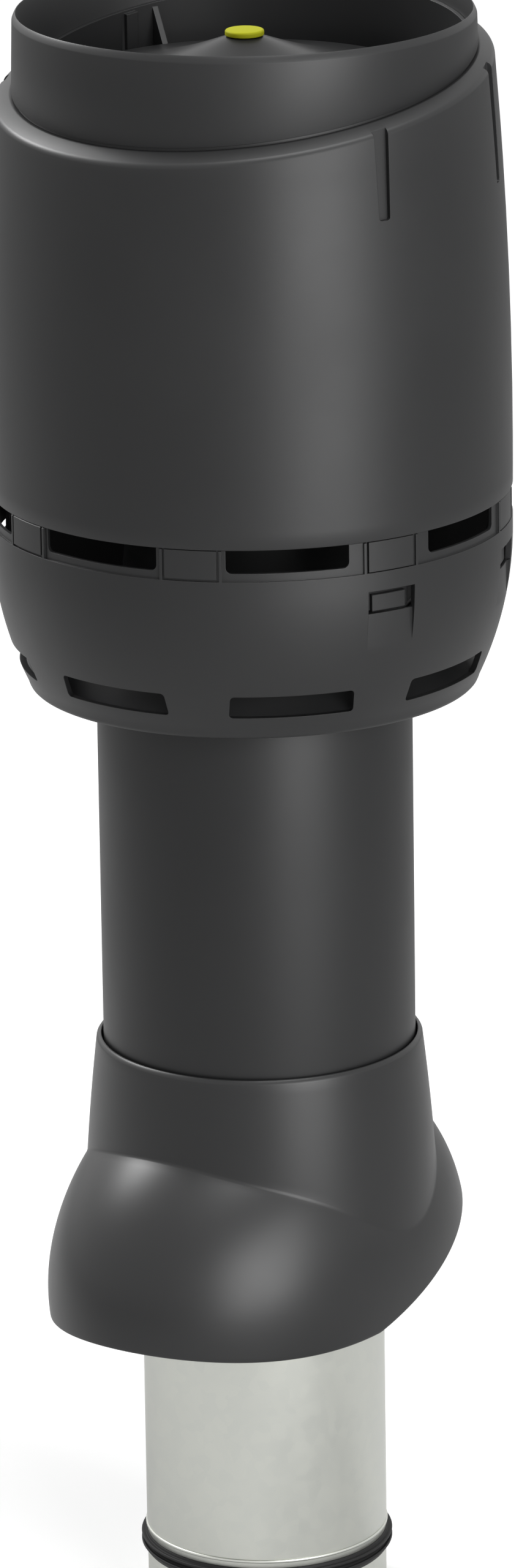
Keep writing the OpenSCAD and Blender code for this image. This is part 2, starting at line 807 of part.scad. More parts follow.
// Space above the rim: the roof slope on the uphill part and a long bow on the downhill part
module above_rim() {
    intersection() {
        translate([0, 0, slope_z]) rotate([roof_slope, 0, 0])
            translate([-big / 2, -big / 2, 0]) cube([big, big, big]);
        translate([-big / 2, rim_low_y, rim_low_z + rim_bow_r]) rotate([0, 90, 0])
            cylinder(h = big, r = rim_bow_r, $fn = 180);
    }
}

module roof_cover() {
    body_top = cover_top - collar_lip_h;
    bore_r = pipe_r + bore_gap;
    color([0.23, 0.23, 0.24]) difference() {
        intersection() {
            union() {
                collar_solid(0, body_top);
                bell_solid(0);
                translate([0, 0, body_top - 0.01]) cylinder(h = collar_lip_h + 0.01,
                    r1 = collar_at(body_top), r2 = collar_at(body_top) - 1.4, $fn = round_fn);
            }
            above_rim();
        }
        collar_solid(cover_wall, seal_top - seal_h - 6);
        bell_solid(cover_wall);
        translate([0, 0, collar_z - cut]) cylinder(h = seal_top + slip - collar_z + cut,
            r = seal_seat_r, $fn = round_fn);
        translate([0, 0, collar_z - cut])
            cylinder(h = collar_h + 2 * cut, r = bore_r, $fn = round_fn);
    }
}

duct_pipe();
spigot_coupling();
spigot_gasket();
insulation_sleeve();
outer_pipe();
pipe_bottom_ring();
pipe_top_ring();
hood_bowl();
socket_screws();
riser_tube();
riser_screws();
hood_shell();
vane_carrier();
carrier_screws();
rain_dome();
dome_washer();
dome_screw();
centre_plug();
latch_tongue_1();
latch_tongue_2();
latch_tongue_3();
latch_tongue_4();
collar_seal();
roof_cover();
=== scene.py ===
import math

import bmesh
import bpy
from mathutils import Matrix, Vector


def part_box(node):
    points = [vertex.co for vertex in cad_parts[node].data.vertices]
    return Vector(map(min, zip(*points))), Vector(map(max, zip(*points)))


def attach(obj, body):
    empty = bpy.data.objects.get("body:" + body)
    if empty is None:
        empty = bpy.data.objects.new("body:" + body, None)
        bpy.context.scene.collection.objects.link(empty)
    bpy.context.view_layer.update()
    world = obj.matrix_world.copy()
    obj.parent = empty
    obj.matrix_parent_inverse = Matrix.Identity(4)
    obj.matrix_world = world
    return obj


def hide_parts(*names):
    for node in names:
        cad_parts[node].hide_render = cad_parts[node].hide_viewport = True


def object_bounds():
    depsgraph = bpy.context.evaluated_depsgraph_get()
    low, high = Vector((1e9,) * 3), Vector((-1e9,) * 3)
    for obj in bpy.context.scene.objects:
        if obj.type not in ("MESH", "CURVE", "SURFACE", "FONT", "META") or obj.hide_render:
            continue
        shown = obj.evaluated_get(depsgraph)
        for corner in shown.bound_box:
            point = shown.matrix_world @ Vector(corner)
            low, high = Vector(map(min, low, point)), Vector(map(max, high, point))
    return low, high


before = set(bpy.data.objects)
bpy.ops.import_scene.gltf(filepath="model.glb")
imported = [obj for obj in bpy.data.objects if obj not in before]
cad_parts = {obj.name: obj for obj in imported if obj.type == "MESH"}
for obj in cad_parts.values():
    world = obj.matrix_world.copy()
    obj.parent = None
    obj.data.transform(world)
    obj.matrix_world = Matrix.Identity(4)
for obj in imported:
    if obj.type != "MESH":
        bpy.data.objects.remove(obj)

cadLow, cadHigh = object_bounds()

# Sizes are in metres. Angles round the pipe are counted from downhill (-Y) towards +X.
mm = 0.001
turnSteps = 360  # vertices in a turned ring
smallTurnSteps = 240
plugTurnSteps = 96
edgeAngle = 32  # degrees, sharper edges than this stay sharp
softEdgeAngle = 40  # for pieces whose small rounds are turned with them
roundSteps = 6  # faces in the rounded corner of an opening
startRadius = 0.1  # of a ring or outline, before its vertices are put in place
mergeReach = 0.001 * mm


def deselectAll():
    if bpy.context.object and bpy.context.object.mode != "OBJECT":
        bpy.ops.object.mode_set(mode="OBJECT")
    bpy.ops.object.select_all(action="DESELECT")


def activate(piece):
    deselectAll()
    piece.select_set(True)
    bpy.context.view_layer.objects.active = piece


def editMesh(piece, mode="VERT"):
    activate(piece)
    bpy.ops.object.mode_set(mode="EDIT")
    bpy.ops.mesh.select_mode(type=mode)


def around(azimuth, radius, z):
    return Vector((radius * math.sin(azimuth), -radius * math.cos(azimuth), z))


def at(value, azimuth):
    return value(azimuth) if callable(value) else value


# Puts the selected ring of vertices at the row's radius and height, each kept at its own angle
def placeRing(piece, row):
    mesh = bmesh.from_edit_mesh(piece.data)
    for vert in mesh.verts:
        if vert.select:
            azimuth = math.atan2(vert.co.x, -vert.co.y)
            vert.co = around(azimuth, at(row[0], azimuth), at(row[1], azimuth))
    bmesh.update_edit_mesh(piece.data)


# A ring is extruded row by row, and the last row is bridged back to the first
def turnRows(name, rows, steps=turnSteps):
    deselectAll()
    bpy.ops.mesh.primitive_circle_add(vertices=steps, radius=startRadius, location=(0, 0, 0))
    piece = bpy.context.object
    piece.name = name
    editMesh(piece)
    bpy.ops.mesh.select_all(action="SELECT")
    placeRing(piece, rows[0])
    for row in rows[1:]:
        bpy.ops.mesh.extrude_edges_move()
        placeRing(piece, row)
    bpy.ops.mesh.select_mode(type="EDGE")
    bpy.ops.mesh.select_all(action="DESELECT")
    bpy.ops.mesh.select_non_manifold()
    bpy.ops.mesh.bridge_edge_loops()
    bpy.ops.mesh.select_all(action="SELECT")
    bpy.ops.mesh.normals_make_consistent(inside=False)
    bpy.ops.object.mode_set(mode="OBJECT")
    return piece


# Corners (radius, height, fillet) in millimetres become rows, each fillet as a short arc
def filletRows(corners, closed=True, arcSteps=4):
    rows = []
    count = len(corners)
    for i, (r, z, fillet) in enumerate(corners):
        here = Vector((r, z))
        if fillet == 0 or (not closed and i in (0, count - 1)):
            rows.append((r * mm, z * mm))
            continue
        before = (Vector(corners[i - 1][:2]) - here).normalized()
        after = (Vector(corners[(i + 1) % count][:2]) - here).normalized()
        half = before.angle(after) / 2
        reach = fillet / math.tan(half)
        centre = here + (before + after).normalized() * (fillet / math.sin(half))
        start = here + before * reach - centre
        end = here + after * reach - centre
        for k in range(arcSteps + 1):
            spoke = start.slerp(end, k / arcSteps) * fillet  # slerp gives unit length
            rows.append(((centre.x + spoke.x) * mm, (centre.y + spoke.y) * mm))
    return rows


# Rounds the edge of one ring, picked out by the radius and height it lies at
def bevelRing(piece, row, width, segments=3, reach=0.03 * mm):
    editMesh(piece)
    bpy.ops.mesh.select_all(action="DESELECT")
    mesh = bmesh.from_edit_mesh(piece.data)
    for vert in mesh.verts:
        azimuth = math.atan2(vert.co.x, -vert.co.y)
        vert.select = (vert.co - around(azimuth, at(row[0], azimuth), at(row[1], azimuth))).length < reach
    mesh.select_flush(True)
    bmesh.update_edit_mesh(piece.data)
    bpy.ops.mesh.select_mode(type="EDGE")
    bpy.ops.mesh.bevel(offset=width, segments=segments, affect="EDGES", clamp_overlap=True)
    bpy.ops.object.mode_set(mode="OBJECT")


# Solid that a flat section (radius, height) sweeps when it is spun round the pipe's axis
def spinBlock(name, section, middle, half, stepAngle=math.radians(1)):
    deselectAll()
    bpy.ops.mesh.primitive_circle_add(vertices=len(section), radius=startRadius, fill_type="NGON")
    piece = bpy.context.object
    piece.name = name
    start = middle + half  # the spin runs backwards from here
    for vert, (r, z) in zip(piece.data.vertices, section):
        vert.co = around(start, r, z)
    editMesh(piece, "FACE")
    bpy.ops.mesh.select_all(action="SELECT")
    bpy.ops.mesh.spin(steps=max(2, round(2 * half / stepAngle)), angle=2 * half, center=(0, 0, 0),
                      axis=(0, 0, 1))
    bpy.ops.mesh.select_all(action="SELECT")
    bpy.ops.mesh.remove_doubles(threshold=mergeReach)
    bpy.ops.mesh.normals_make_consistent(inside=False)
    bpy.ops.object.mode_set(mode="OBJECT")
    return piece


# Block that stands on a spoke of the pipe, with its two lower or all four long edges rounded.
# It can be shifted sideways, across its spoke.
def spokeBlock(name, azimuth, radius, depth, width, low, high, rounding, roundTop, sideways=0):
    deselectAll()
    bpy.ops.mesh.primitive_cube_add(size=1, location=(0, 0, 0))
    piece = bpy.context.object
    piece.name = name
    for vert in piece.data.vertices:
        vert.co.x *= width
        vert.co.y *= depth
        vert.co.z = low if vert.co.z < 0 else high
    editMesh(piece, "EDGE")
    bpy.ops.mesh.select_all(action="DESELECT")
    mesh = bmesh.from_edit_mesh(piece.data)
    for edge in mesh.edges:
        a, b = edge.verts
        alongSpoke = abs(a.co.y - b.co.y) > depth / 2
        edge.select = alongSpoke and (roundTop or a.co.z < (low + high) / 2)
    bmesh.update_edit_mesh(piece.data)
    bpy.ops.mesh.bevel(offset=rounding, segments=roundSteps, affect="EDGES")
    bpy.ops.object.mode_set(mode="OBJECT")
    piece.data.transform(Matrix.Rotation(azimuth, 4, "Z") @ Matrix.Translation((sideways, -radius, 0)))
    return piece


def joined(name, pieces):
    activate(pieces[0])
    for piece in pieces[1:]:
        piece.select_set(True)
    bpy.ops.object.join()
    bpy.context.object.name = name
    return bpy.context.object


def cutAway(piece, cutters):
    cutter = joined("cutter", cutters)
    activate(piece)
    modifier = piece.modifiers.new("cut", "BOOLEAN")
    modifier.operation = "DIFFERENCE"
    modifier.solver = "EXACT"
    modifier.use_self = True
    modifier.object = cutter
    bpy.ops.object.modifier_apply(modifier="cut")
    bpy.data.objects.remove(cutter)


def finishPiece(piece, material, body, nodes, smoothAngle=edgeAngle):
    activate(piece)
    bpy.ops.object.shade_smooth_by_angle(angle=math.radians(smoothAngle))
    piece.data.materials.clear()
    piece.data.materials.append(material)
    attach(piece, body)
    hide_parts(*nodes)


# Camera, fitted to the photograph: it looks down on the downhill side from the right
camera = {"azimuth": math.radians(36), "elevation": math.radians(17), "distance": 4.2796, "height": 0.442,
          "sideways": 0.00084, "roll": 0.0150, "lens": 193.36, "sensor": 36, "clipStart": 0.1, "clipEnd": 60}


def makeCamera(c):
    back = Vector((math.sin(c["azimuth"]) * math.cos(c["elevation"]),
                   -math.cos(c["azimuth"]) * math.cos(c["elevation"]), math.sin(c["elevation"])))
    right = Vector((math.cos(c["azimuth"]), math.sin(c["azimuth"]), 0))
    up = back.cross(right)
    rolledRight = right * math.cos(c["roll"]) - up * math.sin(c["roll"])
    rolledUp = right * math.sin(c["roll"]) + up * math.cos(c["roll"])
    data = bpy.data.cameras.new("camera")
    data.lens = c["lens"]
    data.sensor_width = c["sensor"]
    data.clip_start = c["clipStart"]
    data.clip_end = c["clipEnd"]
    eye = bpy.data.objects.new("camera", data)
    bpy.context.scene.collection.objects.link(eye)
    turned = Matrix((rolledRight, rolledUp, back)).transposed().to_4x4()
    place = Vector((0, 0, c["height"])) + right * c["sideways"] + back * c["distance"]
    eye.matrix_world = Matrix.Translation(place) @ turned
    bpy.context.scene.camera = eye


makeCamera(camera)
print("camera done")

# Materials
charcoalColor = (0.0108, 0.0110, 0.0114)
finishes = {
    "hood": {"color": charcoalColor, "roughness": 0.44, "specular": 0.42, "grain": 0.05, "scuffs": 0.35},
    "cover": {"color": charcoalColor, "roughness": 0.39, "specular": 0.46, "grain": 0.035, "scuffs": 0.35},
    "pipe": {"color": charcoalColor, "roughness": 0.46, "specular": 0.38, "grain": 0.03, "scuffs": 0.35},
    "dome": {"color": charcoalColor, "roughness": 0.33, "specular": 0.24, "grain": 0.03, "scuffs": 0.35},
    "rubber": {"color": (0.006, 0.006, 0.0062), "roughness": 0.62, "specular": 0.35, "grain": 0.10,
               "scuffs": 0.2},
    "lime": {"color": (0.36, 0.365, 0.014), "roughness": 0.55, "specular": 0.06, "grain": 0.02,
             "scuffs": 0.1},
}
# How much the mottle and the scuffs shift colour and gloss, and the radius over which edges catch light
wear = {"mottleColor": 0.08, "mottleGloss": 0.03, "scuffLighter": 1.5, "scuffLift": 0.004,
        "scuffRougher": 0.08, "edge": 0.4 * mm, "edgeSamples": 4, "bumpDepth": 0.3 * mm}


def newGroup(name, inputs, outputs):
    tree = bpy.data.node_groups.new(name, "ShaderNodeTree")
    for label, value in inputs:
        socket = tree.interface.new_socket(label, in_out="INPUT", socket_type="NodeSocketFloat")
        socket.default_value = value
    for label, kind in outputs:
        tree.interface.new_socket(label, in_out="OUTPUT", socket_type=kind)
    return tree, tree.nodes.new("NodeGroupInput"), tree.nodes.new("NodeGroupOutput")


def mathNode(tree, operation, a, b):
    node = tree.nodes.new("ShaderNodeMath")
    node.operation = operation
    for socket, value in zip(node.inputs, (a, b)):
        if isinstance(value, (int, float)):
            socket.default_value = value
        else:
            tree.links.new(value, socket)
    return node.outputs[0]


def noiseNode(tree, coordinates, scale, detail, roughness=0.55):
    node = tree.nodes.new("ShaderNodeTexNoise")
    node.inputs["Detail"].default_value = detail
    node.inputs["Roughness"].default_value = roughness
    if isinstance(scale, (int, float)):
        node.inputs["Scale"].default_value = scale
    else:
        tree.links.new(scale, node.inputs["Scale"])
    tree.links.new(coordinates, node.inputs["Vector"])
    return node.outputs["Fac"]


def rangeNode(tree, value, low, high, fromLow=0.3, fromHigh=0.7):
    node = tree.nodes.new("ShaderNodeMapRange")
    node.inputs["From Min"].default_value = fromLow
    node.inputs["From Max"].default_value = fromHigh
    node.inputs["To Min"].default_value = low
    node.inputs["To Max"].default_value = high
    tree.links.new(value, node.inputs["Value"])
    return node.outputs["Result"]


# Moulded grain: a fine pebble for the bump, and a slow mottle that shifts gloss and colour a little
grain = {"pebble": 1400.0, "pebbleDetail": 3, "mottle": 14.0, "mottleDetail": 4, "fine": 5200,
         "fineDetail": 1, "fineShare": 0.4}


def makeGrainGroup():
    tree, source, target = newGroup(
        "mouldedGrain", [("Pebble", grain["pebble"]), ("Mottle", grain["mottle"])],
        [("Height", "NodeSocketFloat"), ("Mottle", "NodeSocketFloat")])
    place = tree.nodes.new("ShaderNodeTexCoord").outputs["Object"]
    pebble = noiseNode(tree, place, source.outputs["Pebble"], grain["pebbleDetail"])
    fine = noiseNode(tree, place, grain["fine"], grain["fineDetail"])
    mixed = mathNode(tree, "ADD", pebble, mathNode(tree, "MULTIPLY", fine, grain["fineShare"]))
    tree.links.new(mixed, target.inputs["Height"])
    mottle = noiseNode(tree, place, source.outputs["Mottle"], grain["mottleDetail"])
    tree.links.new(mottle, target.inputs["Mottle"])
    return tree


# Handling marks: sparse thin scuffs that lighten the plastic and roughen it, in some patches only
scuffs = {"stretch": (90, 90, 9), "scale": 6, "detail": 5, "harshness": 0.7, "from": 0.60, "to": 0.80,
          "patches": 7, "patchDetail": 2, "patchFrom": 0.45, "patchTo": 0.7}


def makeScuffGroup():
    tree, source, target = newGroup("handlingScuffs", [("Amount", 0.5)], [("Mask", "NodeSocketFloat")])
    place = tree.nodes.new("ShaderNodeTexCoord").outputs["Object"]
    stretch = tree.nodes.new("ShaderNodeMapping")
    stretch.inputs["Scale"].default_value = scuffs["stretch"]
    tree.links.new(place, stretch.inputs["Vector"])
    streak = noiseNode(tree, stretch.outputs["Vector"], scuffs["scale"], scuffs["detail"],
                       scuffs["harshness"])
    patch = noiseNode(tree, place, scuffs["patches"], scuffs["patchDetail"])
    both = mathNode(tree, "MULTIPLY", rangeNode(tree, streak, 0, 1, scuffs["from"], scuffs["to"]),
                    rangeNode(tree, patch, 0, 1, scuffs["patchFrom"], scuffs["patchTo"]))
    tree.links.new(mathNode(tree, "MULTIPLY", both, source.outputs["Amount"]), target.inputs["Mask"])
    return tree


# Zinc spangle: flat crystals a few millimetres wide, each with a tone of its own, under slow clouds
spangle = {"crystals": 170.0, "warp": 60, "shift": 4 * mm, "clouds": 16, "cloudDetail": 4}


def makeSpangleGroup():
    tree, source, target = newGroup("zincSpangle", [("Crystals", spangle["crystals"])],
                                    [("Tone", "NodeSocketFloat"), ("Cloud", "NodeSocketFloat")])
    place = tree.nodes.new("ShaderNodeTexCoord").outputs["Object"]
    warp = tree.nodes.new("ShaderNodeTexNoise")
    warp.inputs["Scale"].default_value = spangle["warp"]
    tree.links.new(place, warp.inputs["Vector"])
    shift = tree.nodes.new("ShaderNodeVectorMath")
    shift.operation = "MULTIPLY_ADD"
    shift.inputs[1].default_value = (spangle["shift"],) * 3
    tree.links.new(warp.outputs["Color"], shift.inputs[0])
    tree.links.new(place, shift.inputs[2])
    cells = tree.nodes.new("ShaderNodeTexVoronoi")
    cells.feature = "F1"
    tree.links.new(source.outputs["Crystals"], cells.inputs["Scale"])
    tree.links.new(shift.outputs[0], cells.inputs["Vector"])
    split = tree.nodes.new("ShaderNodeSeparateColor")
    tree.links.new(cells.outputs["Color"], split.inputs["Color"])
    tree.links.new(split.outputs["Red"], target.inputs["Tone"])
    cloud = noiseNode(tree, place, spangle["clouds"], spangle["cloudDetail"])
    tree.links.new(cloud, target.inputs["Cloud"])
    return tree


grainGroup = makeGrainGroup()
scuffGroup = makeScuffGroup()
spangleGroup = makeSpangleGroup()


def newMaterial(name):
    material = bpy.data.materials.new(name)
    material.use_nodes = True
    return material, material.node_tree, material.node_tree.nodes["Principled BSDF"]


def addGroup(tree, group, values=()):
    node = tree.nodes.new("ShaderNodeGroup")
    node.node_tree = group
    for label, value in values:
        node.inputs[label].default_value = value
    return node


def mixColors(tree, factor, a, b):
    node = tree.nodes.new("ShaderNodeMix")
    node.data_type = "RGBA"
    tree.links.new(factor, node.inputs["Factor"])
    node.inputs["A"].default_value = (*a, 1)
    node.inputs["B"].default_value = (*b, 1)
    return node.outputs["Result"]


# Edges catch light over a small radius, and the grain's bump rides on that
def edgeNormal(tree, shader, height, strength, radius):
    bevel = tree.nodes.new("ShaderNodeBevel")
    bevel.samples = wear["edgeSamples"]
    bevel.inputs["Radius"].default_value = radius
    bump = tree.nodes.new("ShaderNodeBump")
    bump.inputs["Strength"].default_value = strength
    bump.inputs["Distance"].default_value = wear["bumpDepth"]
    tree.links.new(height, bump.inputs["Height"])
    tree.links.new(bevel.outputs["Normal"], bump.inputs["Normal"])
    tree.links.new(bump.outputs["Normal"], shader.inputs["Normal"])


def plasticMaterial(name, finish):
    material, tree, shader = newMaterial(name)
    pebbled = addGroup(tree, grainGroup)
    scuffed = addGroup(tree, scuffGroup, [("Amount", finish["scuffs"])])
    low = tuple(c * (1 - wear["mottleColor"]) for c in finish["color"])
    high = tuple(c * (1 + wear["mottleColor"]) for c in finish["color"])
    base = mixColors(tree, pebbled.outputs["Mottle"], low, high)
    scuffColor = [c * wear["scuffLighter"] + wear["scuffLift"] for c in finish["color"]]
    worn = tree.nodes.new("ShaderNodeMix")
    worn.data_type = "RGBA"
    worn.inputs["B"].default_value = (*scuffColor, 1)
    tree.links.new(base, worn.inputs["A"])
    tree.links.new(scuffed.outputs["Mask"], worn.inputs["Factor"])
    tree.links.new(worn.outputs["Result"], shader.inputs["Base Color"])
    gloss = rangeNode(tree, pebbled.outputs["Mottle"], finish["roughness"] - wear["mottleGloss"],
                      finish["roughness"] + wear["mottleGloss"])
    rougher = mathNode(tree, "MULTIPLY", scuffed.outputs["Mask"], wear["scuffRougher"])
    tree.links.new(mathNode(tree, "ADD", gloss, rougher), shader.inputs["Roughness"])
    shader.inputs["Specular IOR Level"].default_value = finish["specular"]
    edgeNormal(tree, shader, pebbled.outputs["Height"], finish["grain"], wear["edge"])
    return material


sheet = {"light": (0.605, 0.615, 0.57), "dark": (0.575, 0.588, 0.55), "roughness": 0.37, "crystalShare": 0.35,
         "contrast": (0.25, 0.75), "smoother": 0.015, "rougher": 0.02, "pebble": 600.0, "grain": 0.03,
         "edge": 0.25 * mm}
screwFinish = {**sheet, "light": (0.62, 0.62, 0.62), "dark": (0.45, 0.45, 0.45), "roughness": 0.28}


def zincMaterial(name, finish):
    material, tree, shader = newMaterial(name)
    crystals = addGroup(tree, spangleGroup)
    pebbled = addGroup(tree, grainGroup, [("Pebble", finish["pebble"])])
    tone = mathNode(tree, "MULTIPLY", crystals.outputs["Tone"], finish["crystalShare"])
    cloud = mathNode(tree, "MULTIPLY", crystals.outputs["Cloud"], 1 - finish["crystalShare"])
    blend = mathNode(tree, "ADD", tone, cloud)
    blend = rangeNode(tree, blend, 0, 1, *finish["contrast"])
    tree.links.new(mixColors(tree, blend, finish["dark"], finish["light"]), shader.inputs["Base Color"])
    tree.links.new(rangeNode(tree, crystals.outputs["Tone"], finish["roughness"] - finish["smoother"],
                             finish["roughness"] + finish["rougher"], 0, 1), shader.inputs["Roughness"])
    shader.inputs["Metallic"].default_value = 1.0
    edgeNormal(tree, shader, pebbled.outputs["Height"], finish["grain"], finish["edge"])
    return material


woolFibres = {"dark": (0.30, 0.25, 0.11), "light": (0.68, 0.60, 0.34), "stretch": (1, 1, 0.25), "scale": 900,
              "detail": 6, "harshness": 0.7, "roughness": 0.95, "depth": 1.0 * mm}


def woolMaterial(name):
    material, tree, shader = newMaterial(name)
    place = tree.nodes.new("ShaderNodeTexCoord").outputs["Object"]
    stretch = tree.nodes.new("ShaderNodeMapping")
    stretch.inputs["Scale"].default_value = woolFibres["stretch"]
    tree.links.new(place, stretch.inputs["Vector"])
    fibres = noiseNode(tree, stretch.outputs["Vector"], woolFibres["scale"], woolFibres["detail"],
                       woolFibres["harshness"])
    color = mixColors(tree, fibres, woolFibres["dark"], woolFibres["light"])
    tree.links.new(color, shader.inputs["Base Color"])
    shader.inputs["Roughness"].default_value = woolFibres["roughness"]
    bump = tree.nodes.new("ShaderNodeBump")
    bump.inputs["Distance"].default_value = woolFibres["depth"]
    tree.links.new(fibres, bump.inputs["Height"])
    tree.links.new(bump.outputs["Normal"], shader.inputs["Normal"])
    return material


hoodPlastic = plasticMaterial("charcoalPlastic", finishes["hood"])
coverPlastic = plasticMaterial("coverPlastic", finishes["cover"])
pipePlastic = plasticMaterial("pipePlastic", finishes["pipe"])
domePlastic = plasticMaterial("domePlastic", finishes["dome"])
rubber = plasticMaterial("sealRubber", finishes["rubber"])
lime = plasticMaterial("limePlastic", finishes["lime"])
zinc = zincMaterial("galvanisedSheet", sheet)
screwZinc = zincMaterial("screwZinc", screwFinish)
wool = woolMaterial("mineralWool")
print("materials done")

# Levels that the frame gives
shellLow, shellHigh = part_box("hood_shell")
bowlLow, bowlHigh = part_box("hood_bowl")
pipeLow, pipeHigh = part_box("outer_pipe")
ductLow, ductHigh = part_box("duct_pipe")
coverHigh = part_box("roof_cover")[1]
jointZ = shellLow.z / mm
rimZ = shellHigh.z / mm
bowlZ = bowlLow.z / mm
pipeTop = pipeHigh.z / mm

# Hood shell: long leaning side, slanted shoulder, a gap under the neck, and a chamfered lip at the mouth
shell = {"bellyR": shellHigh.x / mm, "bellyZ": jointZ + 24, "curveR": 2430, "wall": 3, "mouthR": 113.2,
         "neckFootR": 117.2, "neckTopR": 115.2, "neckLow": rimZ - 73, "lipDrop": 3.4,
         "lipCrown": ((1.4, 1.9), (0.95, 1.0), (0.6, 0.4), (0.3, 0.0), (0.1, 0.05), (0, 0.3)),  # out, down
         "sideRows": (0, 8, 24, 50, 80, 110, 140, 165), "sideTop": rimZ - 58, "shoulderZ": rimZ - 29.2,
         "shoulderRise": 3.8, "tilt": math.radians(9), "footOut": 0.9, "footDrop": 0.2, "gapHeight": 1.2,
         "gapDepth": 1.4, "gapDrop": 0.5, "innerOut": 0.2, "innerDrop": 0.6, "creaseRound": 2.0,
         "creaseSteps": 5, "edgeRound": 0.3, "rimRound": 0.35}
groove = {"angles": (67.5, 112.5, 247.5, 292.5), "width": 6.1, "topWidth": 8.9, "length": 54, "over": 6,
          "depth": 2.7, "round": 1.4, "cutterDepth": 12, "back": 2.4, "backOverlap": 1.5, "backDrop": 6,
          "shoulderR": 121, "middleR": 122}


def shellRadius(z, inward=0):
    s = shell
    return s["bellyR"] - s["curveR"] + math.sqrt((s["curveR"] - inward) ** 2 - (z - s["bellyZ"]) ** 2)


# Radius and height, in metres, of a ring on a slanted plane. The radius follows a rule of the height.
def slantedRing(middleZ, radiusAt, rounds=4):
    def heightAt(azimuth):
        z = middleZ
        for _ in range(rounds):
            z = middleZ - math.tan(shell["tilt"]) * radiusAt(z) * math.cos(azimuth)
        return z
    return (lambda azimuth: radiusAt(heightAt(azimuth)) * mm, lambda azimuth: heightAt(azimuth) * mm)


def neckRadius(z):
    s = shell
    share = (z - s["neckLow"]) / (rimZ - s["lipDrop"] - s["neckLow"])
    return s["neckFootR"] + (s["neckTopR"] - s["neckFootR"]) * share


# Boss inside the shell, behind a groove
def grooveBack(name, azimuth, low):
    g = groove
    foot = low - g["back"]
    top = shell["shoulderZ"] - g["backDrop"] - math.tan(shell["tilt"]) * g["shoulderR"] * math.cos(azimuth)
    behind, overlap = g["depth"] + g["back"], g["backOverlap"]
    section = [((shellRadius(foot) - behind) * mm, foot * mm), (shellRadius(foot, overlap) * mm, foot * mm),
               (shellRadius(top, overlap) * mm, top * mm), ((shellRadius(top) - behind) * mm, top * mm)]
    return spinBlock(name, section, azimuth, (g["topWidth"] / 2 + g["back"]) / g["middleR"])


# The groove's cutter widens upwards and leans with the side, so that its floor stays at one depth
def grooveBlock(name, azimuth, low):
    g = groove
    length = g["length"] + g["over"]
    block = spokeBlock(name, 0, 0, g["cutterDepth"] * mm, g["width"] * mm, 0, length * mm, g["round"] * mm,
                       False)
    widen = g["topWidth"] / g["width"] - 1
    for vert in block.data.vertices:
        height = vert.co.z / mm
        vert.co.x *= 1 + widen * height / length
        vert.co.y -= (shellRadius(low + height) - g["depth"] + g["cutterDepth"] / 2) * mm
        vert.co.z += low * mm
    block.data.transform(Matrix.Rotation(azimuth, 4, "Z"))
    return block


def makeHoodShell():
    s = shell
    side = [jointZ + rise for rise in s["sideRows"]] + [s["sideTop"]]
    crease = slantedRing(s["shoulderZ"] - s["shoulderRise"], shellRadius)
    foot = slantedRing(s["shoulderZ"] - s["footDrop"], lambda z: neckRadius(z) + s["footOut"])
    gapInner = slantedRing(s["shoulderZ"] - s["gapDrop"], lambda z: neckRadius(z) - s["gapDepth"])
    gapRoof = slantedRing(s["shoulderZ"] + s["gapHeight"], lambda z: neckRadius(z) - s["gapDepth"])
    gapEdge = slantedRing(s["shoulderZ"] + s["gapHeight"], neckRadius)
    under = s["wall"] + s["innerDrop"]
    innerFoot = slantedRing(s["shoulderZ"] - under, lambda z: neckRadius(z) + s["innerOut"])
    innerCrease = slantedRing(s["shoulderZ"] - s["shoulderRise"] - under, lambda z: shellRadius(z, s["wall"]))
    rows = [(shellRadius(z) * mm, z * mm) for z in side]
    rows += [crease, foot, gapInner, gapRoof, gapEdge]
    lipFoot = (s["neckTopR"] * mm, (rimZ - s["lipDrop"]) * mm)
    rows += [lipFoot] + [((s["mouthR"] + out) * mm, (rimZ - down) * mm) for out, down in s["lipCrown"]]
    rows += [(s["mouthR"] * mm, s["neckLow"] * mm), (s["neckFootR"] * mm, s["neckLow"] * mm)]
    rows += [innerFoot, innerCrease]
    rows += [(shellRadius(z, s["wall"]) * mm, z * mm) for z in reversed(side)]
    piece = turnRows("hoodShell", rows)
    bevelRing(piece, crease, s["creaseRound"] * mm, s["creaseSteps"])
    for row, size in ((foot, s["rimRound"]), (gapEdge, s["edgeRound"]), (lipFoot, s["edgeRound"]),
                      (rows[0], s["rimRound"])):
        bevelRing(piece, row, size * mm, 2)
    low = s["shoulderZ"] - groove["length"]
    bosses, cutters = [], []
    for i, angle in enumerate(groove["angles"]):
        bosses.append(grooveBack(f"grooveBack{i}", math.radians(angle), low))
        cutters.append(grooveBlock(f"groove{i}", math.radians(angle), low))
    piece = joined("hoodShell", [piece] + bosses)
    cutAway(piece, cutters)
    finishPiece(piece, hoodPlastic, "hood_top", ["hood_shell"])


makeHoodShell()
print("hood shell done")

# Hood bowl: curved skin with windows, drain slots and latch openings over a sloping floor and a socket
bowl = {"largestR": bowlHigh.x / mm, "curveR": 175, "straight": 23, "wall": 3, "foot": 3, "skinRows": 20,
        "rimRound": 0.4,
        "footBead": ((3.1, 1.2), (2.6, 0.3), (2.0, 0), (1.4, 0.1), (0.8, 0.7), (0.3, 1.8)),  # in, up
        "bandHeight": 16, "recess": 1.2, "ribWidth": 1.4, "ribGap": 1.3, "panelGap": 1.2,
        "panels": (22.5, 157.5, 202.5, 337.5), "floorIn": 29, "floorOut": 11.5, "socketR": 80.15, "slip": 0.3,
        "ductHole": 63.5, "overlap": 1}
opening = {"windows": 8, "width": 66.5, "height": 12, "round": 3, "middleR": 125, "depth": 24,
           "latchTrim": 5.5, "slotWidth": 62, "slotHeight": 12, "slotRound": 2, "slotMiddleR": 116,
           "slotDepth": 26, "slotLift": 12, "over": 2}
